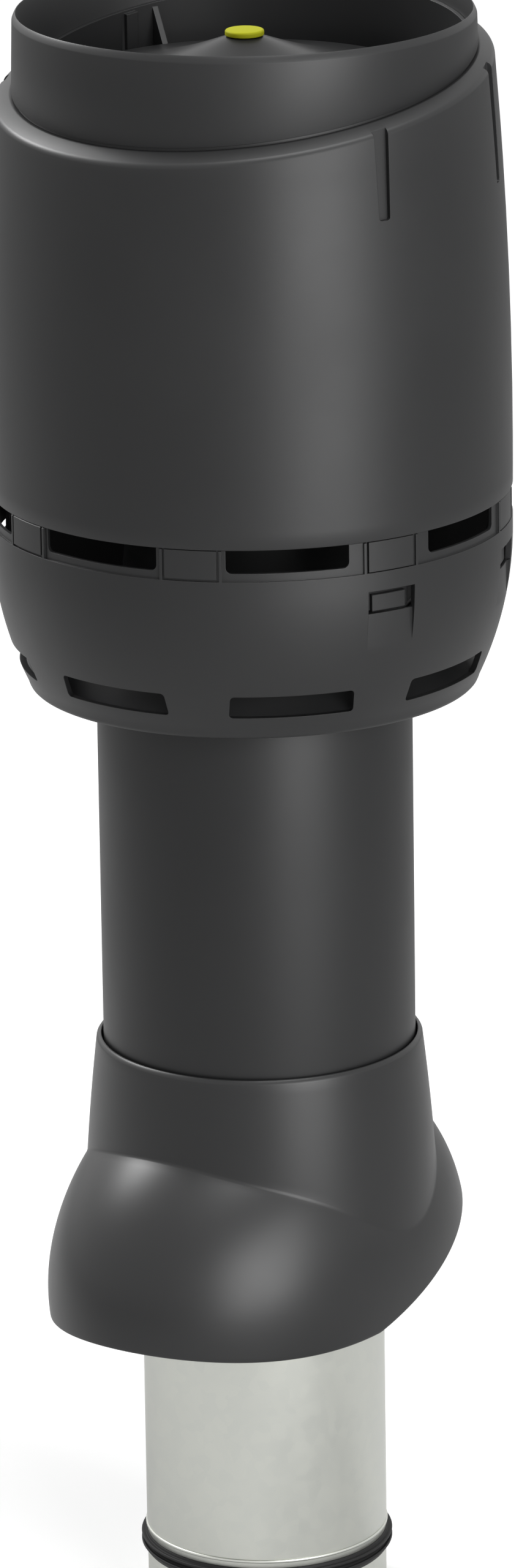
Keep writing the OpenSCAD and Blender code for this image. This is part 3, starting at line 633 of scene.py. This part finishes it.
latchHole = {"angles": (67.5, 112.5, 247.5, 292.5), "half": 5.88, "drop": 37.5, "height": 12, "depth": 6,
             "scoopHeight": 17, "scoopDepth": 1.8}
underRib = {"count": 16, "half": 0.7, "lift": 3, "in": 2.5, "outerTop": 10.5, "innerTop": 28, "overlap": 0.5}
bowlTop = jointZ - bowl["slip"]
bandZ = jointZ - bowl["bandHeight"]
ribOffset = math.degrees(math.asin(opening["width"] / 2 / bowl["largestR"])) + bowl["ribGap"]


def bowlRadius(z, inward=0):
    b = bowl
    straightZ = jointZ - b["straight"]
    if z >= straightZ:
        return b["largestR"] - inward
    return b["largestR"] - b["curveR"] + math.sqrt((b["curveR"] - inward) ** 2 - (straightZ - z) ** 2)


# Corners in millimetres, angles in degrees
def bandBlock(name, angle, half, low, high, depth):
    inner, outer = bowl["largestR"] - depth, bowl["largestR"] + opening["over"]
    section = [(inner, low), (outer, low), (outer, high), (inner, high)]
    return spinBlock(name, [(r * mm, z * mm) for r, z in section], math.radians(angle), math.radians(half))


def bandCutters():
    b = bowl
    pitch = 360 / opening["windows"]
    ribHalf = math.degrees(b["ribWidth"] / 2 / b["largestR"])
    gapHalf = pitch / 2 - ribOffset - ribHalf
    top = bowlTop + b["overlap"]
    cutters = [bandBlock(f"recess{i}", pitch * i, ribOffset - ribHalf, bandZ, top, b["recess"])
               for i in range(opening["windows"])]
    cutters += [bandBlock(f"latchRecess{i}", angle, gapHalf, bandZ, top, b["recess"])
                for i, angle in enumerate(latchHole["angles"])]
    border = math.degrees(b["panelGap"] / b["largestR"])
    for i, angle in enumerate(b["panels"]):
        cutters.append(bandBlock(f"panelFoot{i}", angle, gapHalf, bandZ, bandZ + b["panelGap"], b["recess"]))
        for side in (-1, 1):
            middle = angle + side * (gapHalf - border / 2)
            cutters.append(bandBlock(f"panelSide{i}{side + 1}", middle, border / 2, bandZ + b["panelGap"] / 2,
                                     top, b["recess"]))
    return cutters


# Air windows, narrower on a side that faces a latch, and drain slots below them
def openingCutters():
    o = opening
    cutters = []
    pitch = 360 / o["windows"]
    for i in range(o["windows"]):
        angle = math.radians(pitch * i)
        before, after = [o["latchTrim"] if (pitch * i + side) % 360 in latchHole["angles"] else 0
                         for side in (-pitch / 2, pitch / 2)]
        low = jointZ - o["height"]
        cutters.append(spokeBlock(f"window{i}", angle, o["middleR"] * mm, o["depth"] * mm,
                                  (o["width"] - before - after) * mm, low * mm, (bowlTop + o["over"]) * mm,
                                  o["round"] * mm, False, (before - after) / 2 * mm))
        low = bowlZ + o["slotLift"]
        cutters.append(spokeBlock(f"slot{i}", angle, o["slotMiddleR"] * mm, o["slotDepth"] * mm,
                                  o["slotWidth"] * mm, low * mm, (low + o["slotHeight"]) * mm,
                                  o["slotRound"] * mm, True))
    return cutters


# For each latch a notch in the band, a window below it, and a scoop that leads a finger to the window
def latchCutters():
    h = latchHole
    cutters = []
    windowLow = jointZ - h["drop"]
    windowTop = windowLow + h["height"]
    scoopLow = windowLow - h["scoopHeight"]
    scoopTop = windowLow + bowl["overlap"]
    scoopR = bowlRadius(windowLow) - h["scoopDepth"]
    deep, out = bowl["largestR"] - h["depth"], bowl["largestR"] + opening["over"]
    pane = [(deep, windowLow), (out, windowLow), (out, windowTop), (deep, windowTop)]
    scoop = [(scoopR, scoopTop), (scoopR, windowLow), (bowlRadius(scoopLow), scoopLow), (out, scoopLow),
             (out, scoopTop)]
    for i, angle in enumerate(h["angles"]):
        cutters.append(bandBlock(f"notch{i}", angle, h["half"], bandZ, bowlTop + bowl["overlap"], h["depth"]))
        for name, section in ((f"pane{i}", pane), (f"scoop{i}", scoop)):
            cutters.append(spinBlock(name, [(r * mm, z * mm) for r, z in section], math.radians(angle),
                                     math.radians(h["half"])))
    return cutters


def makeUnderRibs(socketOut):
    u = underRib
    inner, low = socketOut - u["overlap"], bowlZ + u["lift"]
    outline = [(inner, low), (bowlRadius(low) - u["in"], low),
               (bowlRadius(bowlZ + bowl["floorOut"], bowl["wall"]) + u["overlap"], bowlZ + u["outerTop"]),
               (inner, bowlZ + u["innerTop"])]
    return [spinBlock(f"underRib{i}", [(r * mm, z * mm) for r, z in outline],
                      math.radians(360 / u["count"] * i), math.radians(u["half"])) for i in range(u["count"])]


def makeHoodBowl():
    b = bowl
    foot = bowlZ + b["foot"]
    heights = [foot + (jointZ - b["straight"] - foot) * i / b["skinRows"] for i in range(b["skinRows"] + 1)]
    outR, inR, edge = b["largestR"], b["largestR"] - b["wall"], b["rimRound"]
    rows = [(bowlRadius(z) * mm, z * mm) for z in heights]
    rows += [(outR * mm, bandZ * mm), (outR * mm, (bowlTop - edge) * mm), ((outR - edge) * mm, bowlTop * mm),
             ((inR + edge) * mm, bowlTop * mm), (inR * mm, (bowlTop - edge) * mm)]
    rows += [(bowlRadius(z, b["wall"]) * mm, z * mm) for z in reversed(heights)]
    rows += [((bowlRadius(foot) - inward) * mm, (bowlZ + rise) * mm) for inward, rise in b["footBead"]]
    skin = turnRows("bowlSkin", rows)
    cutAway(skin, bandCutters() + openingCutters() + latchCutters())
    socketOut = b["socketR"] + b["wall"]
    floorInR = socketOut - b["overlap"]
    floorOutR = bowlRadius(bowlZ + b["floorOut"], b["wall"]) + b["overlap"]
    floor = turnRows("bowlFloor", filletRows([
        (floorInR, bowlZ + b["floorIn"] - b["wall"], 0), (floorOutR, bowlZ + b["floorOut"] - b["wall"], 0),
        (floorOutR, bowlZ + b["floorOut"], 0), (floorInR, bowlZ + b["floorIn"], 0)]))
    ledge = pipeTop + b["slip"]
    socket = turnRows("bowlSocket", filletRows([
        (b["socketR"], bowlZ, 0.4), (socketOut, bowlZ, 0.6), (socketOut, ledge + b["wall"], 1),
        (b["ductHole"], ledge + b["wall"], 0.5), (b["ductHole"], ledge, 0.5), (b["socketR"], ledge, 0)]))
    piece = joined("hoodBowl", [skin, floor, socket] + makeUnderRibs(socketOut))
    finishPiece(piece, hoodPlastic, "root", ["hood_bowl"])


makeHoodBowl()
print("hood bowl done")

# Latch tongues: strap inside the shell, face that fills the notch, pad in the window below
latch = {"half": 5.68, "faceR": bowl["largestR"] - 0.3, "rootR": shell["bellyR"] - 3.4, "rootT": 2.4,
         "rootHeight": 36, "rootChamfer": (0.6, 4), "strapR": bowl["largestR"] - 5.8, "strapT": 2.2,
         "strapRamp": (1.4, 2.5), "backRamp": (1, 6), "tipLift": 0.6, "padR": bowl["largestR"] - 3.5,
         "padHalf": 4.3, "padDrop": 2.6, "padLift": 0.3, "padRound": 0.4, "padFoot": (0.5, 0.8), "padRoot": 1,
         "play": 0.4}


def makeLatch(number, angle):
    t = latch
    faceLow, faceTop = bandZ + t["play"], jointZ - t["play"]
    windowLow = jointZ - latchHole["drop"]
    padTop, padLow = windowLow + latchHole["height"] - t["padDrop"], windowLow + t["padLift"]
    rootTop, tip = jointZ + t["rootHeight"], padLow + t["tipLift"]
    rootBackR, strapBackR = t["rootR"] - t["rootT"], t["strapR"] - t["strapT"]
    padBackR = t["strapR"] - t["padRoot"]
    outline = [(rootBackR, rootTop), (t["rootR"] - t["rootChamfer"][0], rootTop),
               (t["rootR"], rootTop - t["rootChamfer"][1]), (t["rootR"], faceTop), (t["faceR"], faceTop),
               (t["faceR"], faceLow), (t["strapR"] + t["strapRamp"][0], faceLow),
               (t["strapR"], faceLow - t["strapRamp"][1]), (t["strapR"], tip), (strapBackR, tip),
               (strapBackR, faceLow + t["backRamp"][0]), (rootBackR, faceLow + t["backRamp"][1])]
    pad = [(padBackR, padTop), (t["padR"] - t["padRound"], padTop), (t["padR"], padTop - t["padRound"]),
           (t["padR"], padLow + t["padFoot"][1]), (t["padR"] - t["padFoot"][0], padLow), (padBackR, padLow)]
    blocks = [spinBlock(name, [(r * mm, z * mm) for r, z in corners], math.radians(angle), math.radians(half))
              for name, corners, half in (("strap", outline, t["half"]), ("pad", pad, t["padHalf"]))]
    piece = joined(f"latchTongue{number}", blocks)
    finishPiece(piece, hoodPlastic, f"latch_{number}", [f"latch_tongue_{number}"])


for number, angle in enumerate(latchHole["angles"], 1):
    makeLatch(number, angle)
print("latches done")

# Rain dome with a rolled edge and a well for the plug
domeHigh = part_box("rain_dome")[1]
dome = {"topZ": domeHigh.z / mm, "edgeR": domeHigh.x / mm, "rise": 20.8, "power": 1.5, "wall": 2.5,
        "skirt": 8, "skirtIn": (0.5, 0.4), "skirtOut": 0.6, "underEdge": 1, "edgeIn": 1.5,
        "edgeRoll": ((0, 1.2), (0.2, 0.5), (0.7, 0.05)),  # in and down
        "outerRows": 24, "innerRows": 14, "hubR": 12, "hubRim": (2, 0.6), "hubReach": 6, "floorT": 3,
        "wellR": 8.15, "wellDepth": 5.3, "wellIn": 0.5, "wellRound": 0.4, "screwR": 2.2}


def domeHeight(r):
    d = dome
    return d["topZ"] - d["rise"] + d["rise"] * ((d["edgeR"] - r) / (d["edgeR"] - d["wellR"])) ** d["power"]


def makeRainDome():
    d = dome
    edgeR, underR = d["edgeR"], d["edgeR"] - d["wall"]
    edgeZ, skirtZ = d["topZ"] - d["rise"], d["topZ"] - d["rise"] - d["skirt"]
    outerStart, outerSpan = edgeR - d["edgeIn"], edgeR - d["edgeIn"] - d["wellR"] - d["wellIn"]
    outerR = [outerStart - outerSpan * i / d["outerRows"] for i in range(d["outerRows"] + 1)]
    innerStart = d["hubR"] + d["hubReach"]
    innerSpan = underR - d["edgeIn"] - d["hubR"] - d["hubReach"]
    innerR = [innerStart + innerSpan * i / d["innerRows"] for i in range(d["innerRows"] + 1)]
    wellZ = d["topZ"] - d["wellDepth"]
    floorLow = wellZ - d["floorT"]
    rows = [(d["screwR"], floorLow), (d["hubR"], floorLow),
            (d["hubR"] + d["hubRim"][0], floorLow + d["hubRim"][1])]
    rows += [(r, domeHeight(r) - d["wall"]) for r in innerR]
    rows += [(underR, edgeZ - d["wall"] - d["underEdge"]), (underR, skirtZ + d["skirtIn"][1]),
             (underR + d["skirtIn"][0], skirtZ), (edgeR - d["skirtOut"], skirtZ),
             (edgeR, skirtZ + d["skirtOut"])]
    rows += [(edgeR - inward, edgeZ - down) for inward, down in d["edgeRoll"]]
    rows += [(r, domeHeight(r)) for r in outerR]
    rows += [(d["wellR"], d["topZ"] - d["wellRound"]), (d["wellR"], wellZ), (d["screwR"], wellZ)]
    piece = turnRows("rainDome", [(r * mm, z * mm) for r, z in rows], steps=smallTurnSteps)
    finishPiece(piece, domePlastic, "hood_top", ["rain_dome"], smoothAngle=softEdgeAngle)


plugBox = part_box("centre_plug")
plug = {"radius": plugBox[1].x / mm, "topZ": plugBox[1].z / mm, "capT": 2.8, "capRound": 1.1, "stemR": 7.85,
        "stemLow": plugBox[0].z / mm, "stemT": 1.7, "hollow": 0.5, "centreR": 0.02}


def makePlug():
    p = plug
    seat = p["topZ"] - p["capT"]
    boreR, boreTop = p["stemR"] - p["stemT"], seat + p["hollow"]
    rows = filletRows([(p["centreR"], boreTop, 0), (boreR, boreTop, 0.2), (boreR, p["stemLow"], 0.2),
                       (p["stemR"], p["stemLow"], 0.4), (p["stemR"], seat, 0.1), (p["radius"], seat, 0.3),
                       (p["radius"], p["topZ"], p["capRound"]), (p["centreR"], p["topZ"], 0)],
                      closed=False, arcSteps=5)
    piece = turnRows("centrePlug", rows, steps=plugTurnSteps)
    finishPiece(piece, lime, "plug", ["centre_plug"], smoothAngle=softEdgeAngle)


makeRainDome()
makePlug()
print("dome and plug done")

# Plain turned pieces: corners are radius, height and fillet in millimetres
pipeR, pipeWall = pipeHigh.x / mm, 3
ductR, ductWall = ductHigh.x / mm, 0.8
ductLowZ, ductTopZ = ductLow.z / mm, ductHigh.z / mm
spigotR, beadR, beadLow = ductR - 0.3, ductR + 0.6, ductLowZ - 1.6
seatR, seatLow, seatTop = spigotR - 0.8, ductLowZ - 14, beadLow - 3.2
lipR = spigotR + 3.2
insertR, insertTop, sheetT = ductR - ductWall - 0.15, ductLowZ + 37, 1
turned = {
    "outerPipe": {"node": "outer_pipe", "slot": "charcoal_plastic", "material": pipePlastic, "corners": [
        (pipeR, pipeLow.z / mm, 0.3), (pipeR, pipeTop, 0.5), (pipeR - pipeWall, pipeTop, 0.5),
        (pipeR - pipeWall, pipeLow.z / mm, 0.3)]},
    "ductPipe": {"node": "duct_pipe", "slot": "galvanised_steel", "material": zinc, "corners": [
        (ductR, ductLowZ, 0.25), (ductR, ductTopZ, 0.25), (ductR - ductWall, ductTopZ, 0.25),
        (ductR - ductWall, ductLowZ, 0.25)]},
    "spigotCoupling": {"node": "spigot_coupling", "slot": "galvanised_steel", "material": zinc, "corners": [
        (spigotR - 2 * sheetT, 0, 0), (spigotR - sheetT, 0, 0.3), (spigotR, 3, 1.2), (spigotR, seatLow, 0.3),
        (seatR, seatLow, 0.2), (seatR, seatTop, 0.2), (spigotR, seatTop, 0.3), (spigotR, beadLow, 0.2),
        (beadR, beadLow, 0.6), (beadR, ductLowZ, 0.6),
        (insertR, ductLowZ, 0.2), (insertR, insertTop, 0.2), (insertR - sheetT, insertTop, 0.2),
        (insertR - sheetT, beadLow, 0.3), (seatR - sheetT, beadLow - sheetT, 0.3),
        (seatR - sheetT, seatLow - sheetT, 0.3), (spigotR - sheetT, seatLow - 2 * sheetT, 0.3),
        (spigotR - sheetT, 3, 0.5)]},
    "spigotGasket": {"node": "spigot_gasket", "slot": "black_rubber", "material": rubber, "corners": [
        (seatR, seatLow, 0), (spigotR + 0.9, seatLow, 0.3), (lipR, seatLow + 3.2, 0.6),
        (lipR, seatLow + 4.6, 0.5), (spigotR + 0.9, seatLow + 3.4, 0.4), (spigotR + 0.9, seatTop - 4.2, 0.4),
        (lipR, seatTop - 2.2, 0.6), (lipR, seatTop - 0.9, 0.5), (spigotR + 0.9, seatTop - 1.6, 0.4),
        (spigotR + 0.5, seatTop, 0.2), (seatR, seatTop, 0)]},
}
for name, t in turned.items():
    piece = turnRows(name, filletRows(t["corners"], arcSteps=3), steps=smallTurnSteps)
    finishPiece(piece, t["material"], "root", [t["node"]], smoothAngle=softEdgeAngle)
print("pipe, duct and coupling done")

# Roof cover: flared collar that runs into a tilted egg-shaped bell, cut by the roof plane and a long bow
cover = {"topZ": coverHigh.z / mm, "topR": 83.4, "footR": 91.3, "height": 106, "power": 1.6, "wall": 3,
         "lip": 2, "lipIn": 1.4, "bellX": 95, "bellY": 129.5, "bellZ": 109.4, "drop": 123, "shift": 3.9,
         "tilt": math.radians(2.9), "slope": math.radians(18.3), "slopeDrop": 7.5, "bowR": 345, "bowY": -60,
         "bowDrop": 17.7, "seatR": 83.0, "boreR": 80.9, "boreRound": 0.4, "sealTop": 14, "sealHeight": 20,
         "seatLonger": 6, "seatPlay": 0.3, "creaseRound": 1.2, "creaseSteps": 4, "rimRound": 0.7,
         "rimSteps": 3, "edgeAngle": 30, "easePower": 2.5, "collarRows": 12, "bellRows": 30,
         "innerBellRows": 22, "innerCollarRows": 6,
         "lipCrown": ((-0.3, 0), (0.2, 0.25)), "lipFoot": (0.1, 0.2), "collarDrop": 0.3,  # out and down
         "creaseSearch": 0.97, "rimSearch": 40,
         "creaseShift": (-0.64, -1.55, -2.02, -1.74, -0.66, 0.44, 0.60)}  # cosine series of the azimuth


def collarRadius(z, inward=0):
    c = cover
    share = max(z - (c["topZ"] - c["height"]), 0) / c["height"]
    return c["footR"] - inward - (c["footR"] - c["topR"]) * share ** c["power"]


# Distance from the pipe's axis to the bell's surface at one angle and height
def bellRadius(azimuth, z, inward=0):
    c = cover
    axes = (c["bellX"] - inward, c["bellY"] - inward, c["bellZ"] - inward)
    turn = Matrix.Rotation(-c["tilt"], 3, "X")
    start = turn @ (Vector((0, 0, z)) - Vector((0, -c["shift"], c["topZ"] - c["drop"])))
    ray = turn @ Vector((math.sin(azimuth), -math.cos(azimuth), 0))
    p = Vector([start[i] / axes[i] for i in range(3)])
    d = Vector([ray[i] / axes[i] for i in range(3)])
    a, b, k = d.dot(d), p.dot(d), p.dot(p) - 1
    inside = b * b - a * k
    return (-b + math.sqrt(inside)) / a if inside > 0 else 0


# Halves the span until the height is found at which above() turns true
def solveHeight(low, high, above, steps=40):
    for _ in range(steps):
        middle = (low + high) / 2
        low, high = (low, middle) if above(middle) else (middle, high)
    return (low + high) / 2


def rimHeight(y):
    c = cover
    bell = c["topZ"] - c["drop"]
    bow = bell - c["bowDrop"] + c["bowR"] - math.sqrt(c["bowR"] ** 2 - (y - c["bowY"]) ** 2)
    return max(bell - c["slopeDrop"] + math.tan(c["slope"]) * y, bow)


class BellLines:
    # Heights of the crease and of the rim round the cover, worked out once for each angle
    def __init__(self, inward):
        self.inward = inward
        self.known = {}

    def heights(self, azimuth):
        key = round(azimuth, 5)
        if key not in self.known:
            c, inward = cover, self.inward
            bell = c["topZ"] - c["drop"]
            crease = solveHeight(bell, bell + c["bellZ"] * c["creaseSearch"],
                                 lambda z: bellRadius(azimuth, z, inward) < collarRadius(z, inward))
            rim = solveHeight(bell - c["rimSearch"], crease,
                              lambda z: z > rimHeight(-bellRadius(azimuth, z, inward) * math.cos(azimuth)))
            crease += sum(size * math.cos(i * azimuth) for i, size in enumerate(c["creaseShift"]))
            step = bellRadius(azimuth, crease, inward) - collarRadius(crease, inward)
            self.known[key] = (crease, rim, step)
        return self.known[key]

    # Row of the collar, share 0 at topZ and 1 at the crease
    def collarRow(self, share, topZ):
        def height(azimuth):
            return topZ + (self.heights(azimuth)[0] - topZ) * share
        return (lambda a: collarRadius(height(a), self.inward) * mm, lambda a: height(a) * mm)

    # Row of the bell, share 0 at the crease and 1 at the rim. Near the crease it eases into the collar.
    def bellRow(self, share):
        def height(azimuth):
            crease, rim, _ = self.heights(azimuth)
            return crease + (rim - crease) * share

        def radius(azimuth):
            eased = self.heights(azimuth)[2] * (1 - share) ** cover["easePower"]
            return bellRadius(azimuth, height(azimuth), self.inward) - eased
        return (lambda a: radius(a) * mm, lambda a: height(a) * mm)


def makeRoofCover():
    c = cover
    outer, inner = BellLines(0), BellLines(c["wall"])
    bodyTop = c["topZ"] - c["lip"]
    seatTop = c["topZ"] - c["sealTop"] + c["seatPlay"]
    seatLow = c["topZ"] - c["sealTop"] - c["sealHeight"] - c["seatLonger"]
    topR = collarRadius(bodyTop)
    rows = [((topR - c["lipIn"] + out) * mm, (c["topZ"] - down) * mm) for out, down in c["lipCrown"]]
    rows += [((topR - c["lipFoot"][0]) * mm, (bodyTop + c["lipFoot"][1]) * mm)]
    count = c["collarRows"]
    rows += [outer.collarRow(i / count, bodyTop - c["collarDrop"]) for i in range(count)]
    crease = outer.bellRow(0)
    rows += [outer.bellRow(i / c["bellRows"]) for i in range(c["bellRows"] + 1)]
    rows += [inner.bellRow(1 - i / c["innerBellRows"]) for i in range(c["innerBellRows"] + 1)]
    count = c["innerCollarRows"]
    rows += [inner.collarRow(1 - i / count, seatLow) for i in range(1, count + 1)]
    rows += [(c["seatR"] * mm, seatLow * mm), (c["seatR"] * mm, seatTop * mm),
             (c["boreR"] * mm, seatTop * mm), (c["boreR"] * mm, (c["topZ"] - c["boreRound"]) * mm),
             ((c["boreR"] + c["boreRound"]) * mm, c["topZ"] * mm)]
    piece = turnRows("roofCover", rows)
    bevelRing(piece, crease, c["creaseRound"] * mm, c["creaseSteps"])
    bevelRing(piece, outer.bellRow(1), c["rimRound"] * mm, c["rimSteps"])
    finishPiece(piece, coverPlastic, "cover", ["roof_cover"], smoothAngle=c["edgeAngle"])


makeRoofCover()
print("roof cover done")

# CAD nodes that stay as they are, with a better material
kept = {"insulation_sleeve": wool, "pipe_bottom_ring": pipePlastic, "pipe_top_ring": pipePlastic,
        "riser_tube": hoodPlastic, "vane_carrier": hoodPlastic, "collar_seal": rubber,
        "socket_screws": screwZinc, "riser_screws": screwZinc, "carrier_screws": screwZinc,
        "dome_washer": screwZinc, "dome_screw": screwZinc}
for name, material in kept.items():
    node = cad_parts[name]
    for slotNumber in range(len(node.material_slots)):
        node.material_slots[slotNumber].material = material
print("kept nodes painted")

# Studio: a pale floor whose glow grows with the distance, white surroundings, three soft lamps
studio = {"ambient": 0.20, "floorColor": (0.70, 0.70, 0.70), "floorSize": 40, "floorDrop": 0.5 * mm,
          "floorRoughness": 0.9, "floorSpecular": 0.1, "mirrored": 0.2, "glowNear": 0.47, "glowFar": 0.85,
          "glowStart": 0.3, "glowReach": 2.6,
          "key": {"azimuth": 68, "elevation": 10, "distance": 2.6, "width": 1.5, "height": 1.75, "power": 54},
          "side": {"azimuth": -90, "elevation": 42, "distance": 2.4, "width": 0.8, "height": 0.8,
                   "power": 40},
          "top": {"azimuth": 75, "elevation": 76, "distance": 2.2, "width": 0.9, "height": 0.9, "power": 26},
          "target": (0, 0, 0.45)}


def makeLamp(name, lamp):
    data = bpy.data.lights.new(name, "AREA")
    data.shape = "RECTANGLE"
    data.size, data.size_y = lamp["width"], lamp["height"]
    data.energy = lamp["power"]
    light = bpy.data.objects.new(name, data)
    bpy.context.scene.collection.objects.link(light)
    a, e = math.radians(lamp["azimuth"]), math.radians(lamp["elevation"])
    away = Vector((math.sin(a) * math.cos(e), -math.cos(a) * math.cos(e), math.sin(e)))
    light.location = Vector(studio["target"]) + away * lamp["distance"]
    light.rotation_mode = "QUATERNION"
    light.rotation_quaternion = away.to_track_quat("Z", "Y")


# One for rays from the camera or through glass, and the mirrored share for rays off a shiny surface
def seenRays(tree, mirrored=1.0):
    path = tree.nodes.new("ShaderNodeLightPath")
    direct = mathNode(tree, "MAXIMUM", path.outputs["Is Camera Ray"], path.outputs["Is Transmission Ray"])
    glossy = mathNode(tree, "MULTIPLY", path.outputs["Is Glossy Ray"], mirrored)
    return mathNode(tree, "MAXIMUM", direct, glossy)


def makeWorld():
    world = bpy.data.worlds.new("studio")
    bpy.context.scene.world = world
    world.use_nodes = True
    tree = world.node_tree
    background = tree.nodes["Background"]
    background.inputs["Color"].default_value = (1, 1, 1, 1)
    tree.links.new(rangeNode(tree, seenRays(tree), studio["ambient"], 1, 0, 1), background.inputs["Strength"])


def makeFloor():
    deselectAll()
    floorZ = cadLow.z - studio["floorDrop"]
    bpy.ops.mesh.primitive_plane_add(size=studio["floorSize"], location=(0, 0, floorZ))
    floor = bpy.context.object
    floor.name = "floor"
    material, tree, shader = newMaterial("studioFloor")
    shader.inputs["Base Color"].default_value = (*studio["floorColor"], 1)
    shader.inputs["Roughness"].default_value = studio["floorRoughness"]
    shader.inputs["Specular IOR Level"].default_value = studio["floorSpecular"]
    glow = tree.nodes.new("ShaderNodeEmission")
    total = tree.nodes.new("ShaderNodeAddShader")
    reach = tree.nodes.new("ShaderNodeVectorMath")
    reach.operation = "LENGTH"
    tree.links.new(tree.nodes.new("ShaderNodeTexCoord").outputs["Object"], reach.inputs[0])
    spread = rangeNode(tree, reach.outputs["Value"], studio["glowNear"], studio["glowFar"],
                       studio["glowStart"], studio["glowReach"])
    strength = mathNode(tree, "MULTIPLY", seenRays(tree, studio["mirrored"]), spread)
    tree.links.new(strength, glow.inputs["Strength"])
    tree.links.new(shader.outputs["BSDF"], total.inputs[0])
    tree.links.new(glow.outputs["Emission"], total.inputs[1])
    tree.links.new(total.outputs["Shader"], tree.nodes["Material Output"].inputs["Surface"])
    floor.data.materials.append(material)


makeLamp("keyLamp", studio["key"])
makeLamp("sideLamp", studio["side"])
makeLamp("topLamp", studio["top"])
makeWorld()
makeFloor()
bpy.context.scene.view_settings.view_transform = "Standard"
print("studio done")
